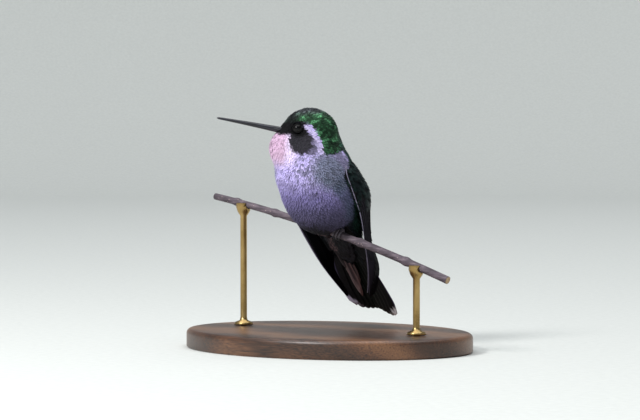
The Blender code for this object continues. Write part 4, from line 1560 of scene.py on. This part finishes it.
# %% [markdown]
# ## The eyes
# The eye is large, dark and wet. It is a ball with the cornea standing slightly out of it, a very
# dark brown iris and a black pupil that can hardly be told apart. The colours sit on the mesh,
# by the angle from the line of sight, and a clear hard coat over them catches the lamp.

# %% Make the eyeballs
PUPIL_ANGLE = 24  # degrees from the line of sight, as the next two are
IRIS_ENDS = (54, 60)
CORNEA_ANGLE = 52
CORNEA_BULGE = 0.04


def eye_finish():
    """Dark fibres under a clear wet coat."""
    made, tree, shader = new_finish("eye")
    fibres = spots(tree, 3000, 6, 0.7)
    shaded = own_hue(tree, maths(tree, "MULTIPLY_ADD", fibres, 1.0, 0.5))
    wired(tree, shader, Base_Color=shaded, Roughness=0.4, Specular_IOR_Level=0.05)
    wired(tree, shader, Coat_Weight=0.8, Coat_Roughness=0.02, Coat_IOR=1.3)
    return made


eye_look = eye_finish()
for word, side in SIDES:
    bm = bmesh.new()
    aimed = gaze(side).to_track_quat("Z", "Y").to_matrix().to_4x4()
    where = Matrix.Translation(eyes[side]) @ aimed
    bmesh.ops.create_uvsphere(bm, u_segments=48, v_segments=32, radius=EYE_RADIUS)
    angles = np.array([math.degrees(vert.co.angle(UP)) for vert in bm.verts])
    for vert, angle in zip(bm.verts, angles):
        vert.co *= 1 + CORNEA_BULGE * eased(1 - angle / CORNEA_ANGLE)
    bmesh.ops.transform(bm, matrix=where, verts=bm.verts)
    made = finished(f"eyeball_{word}", bm, eye_look, "cornea", f"eye_{word}")
    iris = rising(PUPIL_ANGLE, PUPIL_ANGLE + 3, angles) * rising(*reversed(IRIS_ENDS), angles)
    hue = tinted(paint(1, 1, 2), iris, paint(8, 5, 4))
    per_point_attributes(made.data, hue, np.zeros(len(angles)))

# %% [markdown]
# ## The feet
# A hummingbird's feet are small and weak, three toes forward and one back, wrapped round the
# twig. Each toe is a rod bent on an arc about the twig's axis, ringed with scales on top and
# padded below, and ends in a thin hooked claw.

# %% Wrap the toes round the twig
TWIG_RADIUS = 1.15 * MM
TWIG_SLOPE = math.tan(math.radians(14.5))
TWIG_BEND = 0.95  # how far its ends bend down, per metre
FOOT_OFFSET = 4.8 * MM
TOE_RADIUS = 0.42 * MM
TOE_SPREAD = 1.15 * MM
TOE_WRAP = math.radians(118)
BACK_WRAP = math.radians(88)
TOE_SCALES = 9
GRIP_RADIUS = TWIG_RADIUS + 0.3 * MM + TOE_RADIUS
CLAW_LENGTH = 1.9 * MM
CLAW_RADIUS = 0.3 * MM
CLAW_SUNK = 0.4 * MM  # its root, inside the toe
PAD_HALF_SIZES = (1.35 * MM, 0.75 * MM, 0.55 * MM)
SHIN_LENGTH = 1.8 * MM
SHIN_OVER_TOE = 1.3


def twig_axis(across):
    """The twig's middle line, which slopes to the bird's left and bends down at its ends."""
    return PERCH + LEFT * across - UP * (TWIG_SLOPE * across + TWIG_BEND * across**2)


def toe_arc(side, aside, start, end):
    """The path of a toe over the twig; angles are from the top."""
    spot = side * FOOT_OFFSET
    along = (twig_axis(spot + MM) - twig_axis(spot - MM)).normalized()
    top = (UP - along * UP.dot(along)).normalized()
    middle = twig_axis(spot) + along * aside

    def path(share):
        angle = blend(start, end, share)
        return middle + GRIP_RADIUS * (top * math.cos(angle) + FRONT * math.sin(angle))

    return path


def scaled_radius(share):
    """A toe's radius, ringed by its scales and swollen at the pads."""
    ring = abs(math.sin(share * TOE_SCALES * math.pi)) ** 0.5
    return TOE_RADIUS * blend(1.05, 0.78, share) * (0.9 + 0.12 * ring)

# %% Build the feet and their claws
def leg_finish():
    """Grey skin broken into small scales with darker seams."""
    made, tree, shader = new_finish("leg skin")
    scales = cells(tree, 2600)
    tint = ramp(tree, scales, (0.1, paint(104, 96, 106)), (0.6, paint(62, 56, 64)))
    wired(tree, shader, Base_Color=tint, Roughness=0.5)
    bumped(tree, shader, scales, 0.06 * MM, 0.7)
    return made


def toe_into(foot, claws, side, aside, end):
    """Adds one toe that wraps to this angle, and its claw on the same arc beyond it."""
    path = toe_arc(side, aside, 0, end)
    rod_into(foot, 14, 54, round_rod(path, scaled_radius, top=LEFT))
    start = 1 - CLAW_SUNK / (GRIP_RADIUS * abs(end))
    reach = (CLAW_LENGTH + CLAW_SUNK) / (GRIP_RADIUS * abs(end))
    hook = lambda share: path(start + reach * share)
    point = lambda share: CLAW_RADIUS * max(1 - share, 0.02) ** 0.7
    rod_into(claws, 12, 20, round_rod(hook, point, 1.2, top=LEFT))


def palm_into(foot, side):
    """Adds the pad where the toes meet and the end of the shin above it."""
    palm = twig_axis(side * FOOT_OFFSET) + UP * GRIP_RADIUS
    pad = Matrix.Translation(palm) @ Matrix.Diagonal((*PAD_HALF_SIZES, 1))
    bmesh.ops.create_uvsphere(foot, u_segments=24, v_segments=16, radius=1, matrix=pad)
    shin = lambda share: palm + UP * SHIN_LENGTH * share
    rod_into(foot, 14, 20, round_rod(shin, lambda s: scaled_radius(s) * SHIN_OVER_TOE, top=FRONT))


leg_look = leg_finish()
for word, side in SIDES:
    toes = [(place * TOE_SPREAD, TOE_WRAP * (1 if place == 0 else 0.9)) for place in (-1, 0, 1)]
    toes.append((0, -BACK_WRAP))
    foot, claws = bmesh.new(), bmesh.new()
    for aside, end in toes:
        toe_into(foot, claws, side, aside, end)
    palm_into(foot, side)
    finished(f"foot_{word}", foot, leg_look, "leg_skin", f"leg_{word}")
    names = [f"claw_{word}_{number}" for number in range(1, 5)]
    finished(f"claws_{word}", claws, horn, "horn", *names)

# %% [markdown]
# ## The twig
# The perch is a short length of thin twig, sawn off at both ends. Its bark is smooth and
# purple-brown with fine lengthwise cracks, small pale pores and a few swollen knots where buds
# fell. The knots and the ridges are in the mesh, the cracks in the finish, and the sawn ends
# are separate discs of pale wood with rings.

# %% Shape the twig
TWIG_HALF_LENGTH = 47 * MM
TWIG_KNOTS = (-0.40, -0.23, 0.14, 0.33)  # shares of its length from the middle
KNOT_HALF = 0.012
KNOT_SWELL = 0.26
RIDGES = 0.02  # height of the bark's ridges and grain, as shares of the radius
GRAIN = 0.012


def along_twig(share):
    """A point of the twig's middle line, from one end (0) to the other (1)."""
    return twig_axis(blend(-1, 1, share) * TWIG_HALF_LENGTH)


def twig_radius(share):
    """Swollen at the knots, and a little thicker towards its old end."""
    knots = sum(bump(share, 0.5 + knot, KNOT_HALF) for knot in TWIG_KNOTS)
    return TWIG_RADIUS * (1 + KNOT_SWELL * knots) * blend(0.94, 1.06, share)


smooth_twig = round_rod(along_twig, twig_radius)


def twig_place(turn, share):
    """The rule of the bark: the smooth twig with long ridges and a fine grain."""
    smooth, centre = smooth_twig(turn, share), along_twig(share)
    around = turn * math.tau
    ridge = noise.noise(Vector((math.cos(around) * 2.2, math.sin(around) * 2.2, share * 16)))
    grain = noise.noise(smooth / (0.9 * MM))
    return centre + (smooth - centre) * (1 + RIDGES * ridge + GRAIN * grain)

# %% Finish the bark and the sawn wood
def bark_finish():
    """Purple-brown bark with lengthwise cracks and pale pores."""
    made, tree, shader = new_finish("bark")
    cracks = streaks(tree, (180, 1500, 1500), 6)
    broad = spots(tree, 240, 3)
    shade = maths(tree, "MULTIPLY_ADD", cracks, 0.55, maths(tree, "MULTIPLY", broad, 0.45))
    dark, mid, pale = paint(44, 36, 41), paint(80, 69, 78), paint(120, 106, 114)
    tint = ramp(tree, shade, (0.34, dark), (0.5, mid), (0.68, pale))
    spot = maths(tree, "LESS_THAN", cells(tree, 700), 0.13)
    tint = mixed(tree, maths(tree, "MULTIPLY", spot, 0.7), tint, paint(170, 150, 146))
    wired(tree, shader, Base_Color=tint, Roughness=0.72)
    bumped(tree, shader, maths(tree, "ADD", cracks, spot), 0.05 * MM, 0.6)
    return made


def cut_wood_finish():
    """Pale wood with rings round the sheet's own middle."""
    made, tree, shader = new_finish("sawn wood")
    place = add(tree, "UVMap", uv_map="Vane").outputs[0]
    parts = add(tree, "SeparateXYZ", {"Vector": place})
    rings = maths(tree, "SINE", maths(tree, "MULTIPLY", parts.outputs["Y"], 34.0))
    grain = spots(tree, 1600)
    shade = maths(tree, "MULTIPLY_ADD", rings, 0.2, grain)
    tint = ramp(tree, shade, (0.3, paint(150, 118, 88)), (0.75, paint(206, 180, 142)))
    wired(tree, shader, Base_Color=tint, Roughness=0.7)
    bumped(tree, shader, shade, 0.05 * MM, 0.5)
    return made

# %% Grow the twig and close its ends
DISC_SHARE = 0.94  # of the twig's radius
DISC_DOME = 0.09 * MM
DISC_PROUD = 0.02 * MM


def sawn_end(end):
    """The rule of the pale disc on one end of the twig, very slightly domed."""
    core = along_twig(end)
    outward = (core - twig_axis(blend(-1, 1, end) * 0.98 * TWIG_HALF_LENGTH)).normalized()

    def place(turn, along):
        rim = twig_place(turn, end) - core
        dome = DISC_DOME * (1 - along**2) + DISC_PROUD
        return core + rim * DISC_SHARE * max(along, 0.001) + outward * dome

    return place


bm = bmesh.new()
rod_into(bm, 40, 420, twig_place)
finished("twig", bm, bark_finish(), "bark", "perch")
bm = bmesh.new()
for end in (0, 1):
    rod_into(bm, 40, 10, sawn_end(end))
finished("twig_ends", bm, cut_wood_finish(), "bark")

# %% [markdown]
# ## The stand
# The stand is a low oval of walnut with a soft edge, and two brass rods with a small foot and a
# cup that holds the twig. The oval is turned as a profile on a round and drawn in to its
# depth. The rods keep the solids' own shape, welded and shaded smooth up to their sharp edges,
# since they must meet the twig and the base exactly.

# %% Finish the walnut and the brass
def walnut_finish():
    """Long wavering grain, darker late wood, open pores and an oil sheen."""
    made, tree, shader = new_finish("walnut")
    waver = maths(tree, "MULTIPLY", spots(tree, 26, 3), 9.0)
    parts = add(tree, "SeparateXYZ", {"Vector": own_place(tree)})
    across = maths(tree, "MULTIPLY_ADD", parts.outputs["Y"], 210.0, waver)
    across = maths(tree, "ADD", across, maths(tree, "MULTIPLY", parts.outputs["Z"], 260.0))
    bands = maths(tree, "MULTIPLY_ADD", maths(tree, "SINE", across), 0.5, 0.5)
    fibre = streaks(tree, (150, 2600, 2600), 5)
    shade = maths(tree, "MULTIPLY_ADD", bands, 0.35, maths(tree, "MULTIPLY", fibre, 0.65))
    late, mid, pale = paint(44, 28, 20), paint(86, 56, 38), paint(124, 86, 58)
    tint = ramp(tree, shade, (0.25, late), (0.5, mid), (0.75, pale))
    pores = maths(tree, "LESS_THAN", fibre, 0.36)
    tint = mixed(tree, maths(tree, "MULTIPLY", pores, 0.6), tint, paint(26, 16, 12))
    wired(tree, shader, Base_Color=tint, Roughness=0.42)
    wired(tree, shader, Coat_Weight=0.2, Coat_Roughness=0.3)
    bumped(tree, shader, maths(tree, "SUBTRACT", fibre, pores), 0.08 * MM, 0.4)
    return made


def brass_finish():
    """Brushed brass, slightly dulled in patches."""
    made, tree, shader = new_finish("brass")
    brushed = streaks(tree, (900, 900, 9000), 3)
    dull = spots(tree, 180)
    tint = ramp(tree, dull, (0.3, paint(150, 122, 74)), (0.7, paint(186, 158, 106)))
    rough = maths(tree, "MULTIPLY_ADD", brushed, 0.2, maths(tree, "MULTIPLY_ADD", dull, 0.2, 0.12))
    wired(tree, shader, Base_Color=tint, Metallic=1.0, Roughness=rough)
    bumped(tree, shader, brushed, 0.01 * MM, 0.5)
    return made

# %% Turn the base and finish the rods
BASE_HALF_LENGTH = 50 * MM
BASE_HALF_DEPTH = 38 * MM
BASE_HEIGHT = 6 * MM
BASE_EDGE = 1.6 * MM
BASE_CHAMFER = 0.5 * MM  # round its lower edge
TURNED_WELD = 1e-6


def quarter(steps):
    """Angles from 0 to 90 degrees."""
    return [math.radians(90 * step / steps) for step in range(steps + 1)]


def base_profile():
    """The base's outline from the middle of its top, over the soft edge, to the middle below."""
    top = BASE_HEIGHT - BASE_EDGE
    outer = BASE_HALF_LENGTH - BASE_EDGE
    rings = [(outer * step / 6, BASE_HEIGHT) for step in range(6)]
    rings += [(outer + math.sin(a) * BASE_EDGE, top + math.cos(a) * BASE_EDGE) for a in quarter(8)]
    below = [(BASE_HALF_LENGTH, BASE_CHAMFER), (BASE_HALF_LENGTH - BASE_CHAMFER, 0), (0, 0)]
    return rings + below


def lathed(profile, steps, depth=1.0):
    """A profile of (out, up) points turned on the upright axis, and drawn in to its depth."""
    bm = bmesh.new()
    line = [bm.verts.new((out, 0, up)) for out, up in profile]
    line += [bm.edges.new(pair) for pair in zip(line, line[1:])]
    turn = dict(axis=UP, cent=Vector(), steps=steps, angle=math.tau, use_merge=True)
    bmesh.ops.spin(bm, geom=line, **turn)
    bmesh.ops.remove_doubles(bm, verts=bm.verts, dist=TURNED_WELD)
    bmesh.ops.scale(bm, vec=(1, depth, 1), verts=bm.verts)
    bmesh.ops.recalc_face_normals(bm, faces=bm.faces)
    return bm


bm = lathed(base_profile(), 128, BASE_HALF_DEPTH / BASE_HALF_LENGTH)
base = finished("stand_base_walnut", bm, walnut_finish(), "walnut", "stand_base")
base.data.set_sharp_from_angle(angle=math.radians(40))
brass = brass_finish()
for word, _side in SIDES:
    node = f"stand_rod_{word}"
    rod = finished(f"{node}_brass", welded(node), brass, "brass", node)
    rod.data.set_sharp_from_angle(angle=math.radians(32))

# %% [markdown]
# ## The studio
# The model stands on a pale paper cove, a floor that curves up into a wall with no line between
# them. A small soft light, high in front and to the left, shapes the breast and leaves the far
# flank in shade. A wide one overhead and the pale air of the room open the shadows. The camera
# is far off with a long lens, so the bird keeps its proportions.

# %% Build the cove
COVE_FLOOR = 1.6
COVE_BEND = 0.5


def cove_profile():
    """The floor, and the quarter round that lifts it into a wall."""
    bend = [(COVE_BEND * math.sin(a), COVE_BEND * (1 - math.cos(a))) for a in quarter(16)]
    return [(0, 0), (0.4, 0)] + [(COVE_FLOOR + out, up) for out, up in bend]


def paper_finish():
    """Pale matt paper with a faint fleck."""
    made, tree, shader = new_finish("paper")
    fleck = spots(tree, 400)
    tint = ramp(tree, fleck, (0.3, paint(206, 208, 204)), (0.7, paint(212, 214, 210)))
    wired(tree, shader, Base_Color=tint, Roughness=0.9)
    return made


bm = lathed(cove_profile(), 96)
bmesh.ops.reverse_faces(bm, faces=bm.faces)
cove = linked("cove", mesh_of("cove", bm))
cove.data.shade_smooth()
cove.data.materials.append(paper_finish())

# %% Hang the lights as seen from the camera
CAMERA_TURN = math.radians(38)
CAMERA_RISE = math.radians(2)
camera_out = Vector(
    (
        math.sin(CAMERA_TURN) * math.cos(CAMERA_RISE),
        -math.cos(CAMERA_TURN) * math.cos(CAMERA_RISE),
        math.sin(CAMERA_RISE),
    )
)
camera_right = Vector((math.cos(CAMERA_TURN), math.sin(CAMERA_TURN), 0))
camera_up = camera_right.cross(-camera_out)


def hang_light(name, right, up, out, size, power, tint=(1, 1, 1)):
    """A soft square light, placed as seen from the camera and turned to the bird."""
    lamp = bpy.data.lights.new(name, "AREA")
    lamp.size = size
    lamp.energy = power
    lamp.color = tint
    made = linked(name, lamp)
    at = PERCH + camera_right * right + camera_up * up + camera_out * out
    turn = (at - PERCH).to_track_quat("Z", "Y").to_matrix().to_4x4()
    made.matrix_world = Matrix.Translation(at) @ turn


hang_light("key", -0.5, 0.5, 0.5, 0.2, 6.0)
hang_light("overhead", 0.0, 2.4, 0.0, 3.0, 62, (0.96, 0.98, 1))
studio = bpy.data.worlds.new("studio")
bpy.context.scene.world = studio
studio.use_nodes = True
ambient = studio.node_tree.nodes["Background"].inputs
ambient["Color"].default_value = (0.8, 0.86, 0.92, 1)
ambient["Strength"].default_value = 0.3

# %% Set the camera
CAMERA_DISTANCE = 0.9
VIEW_WIDTH = 0.2048  # what the picture spans at the bird
AIM_LEFT = 2.56 * MM  # where the picture's middle falls, from the twig's
AIM_ABOVE = 6.56 * MM
SENSOR = 36

lens = bpy.data.cameras.new("camera")
lens.sensor_width = SENSOR
lens.lens = SENSOR * CAMERA_DISTANCE / VIEW_WIDTH
lens.clip_start = 0.01
camera = linked("camera", lens)
aim = PERCH - camera_right * AIM_LEFT + camera_up * AIM_ABOVE
turn = camera_out.to_track_quat("Z", "Y").to_matrix().to_4x4()
camera.matrix_world = Matrix.Translation(aim + camera_out * CAMERA_DISTANCE) @ turn
bpy.context.scene.camera = camera
bpy.context.scene.view_settings.view_transform = "Standard"
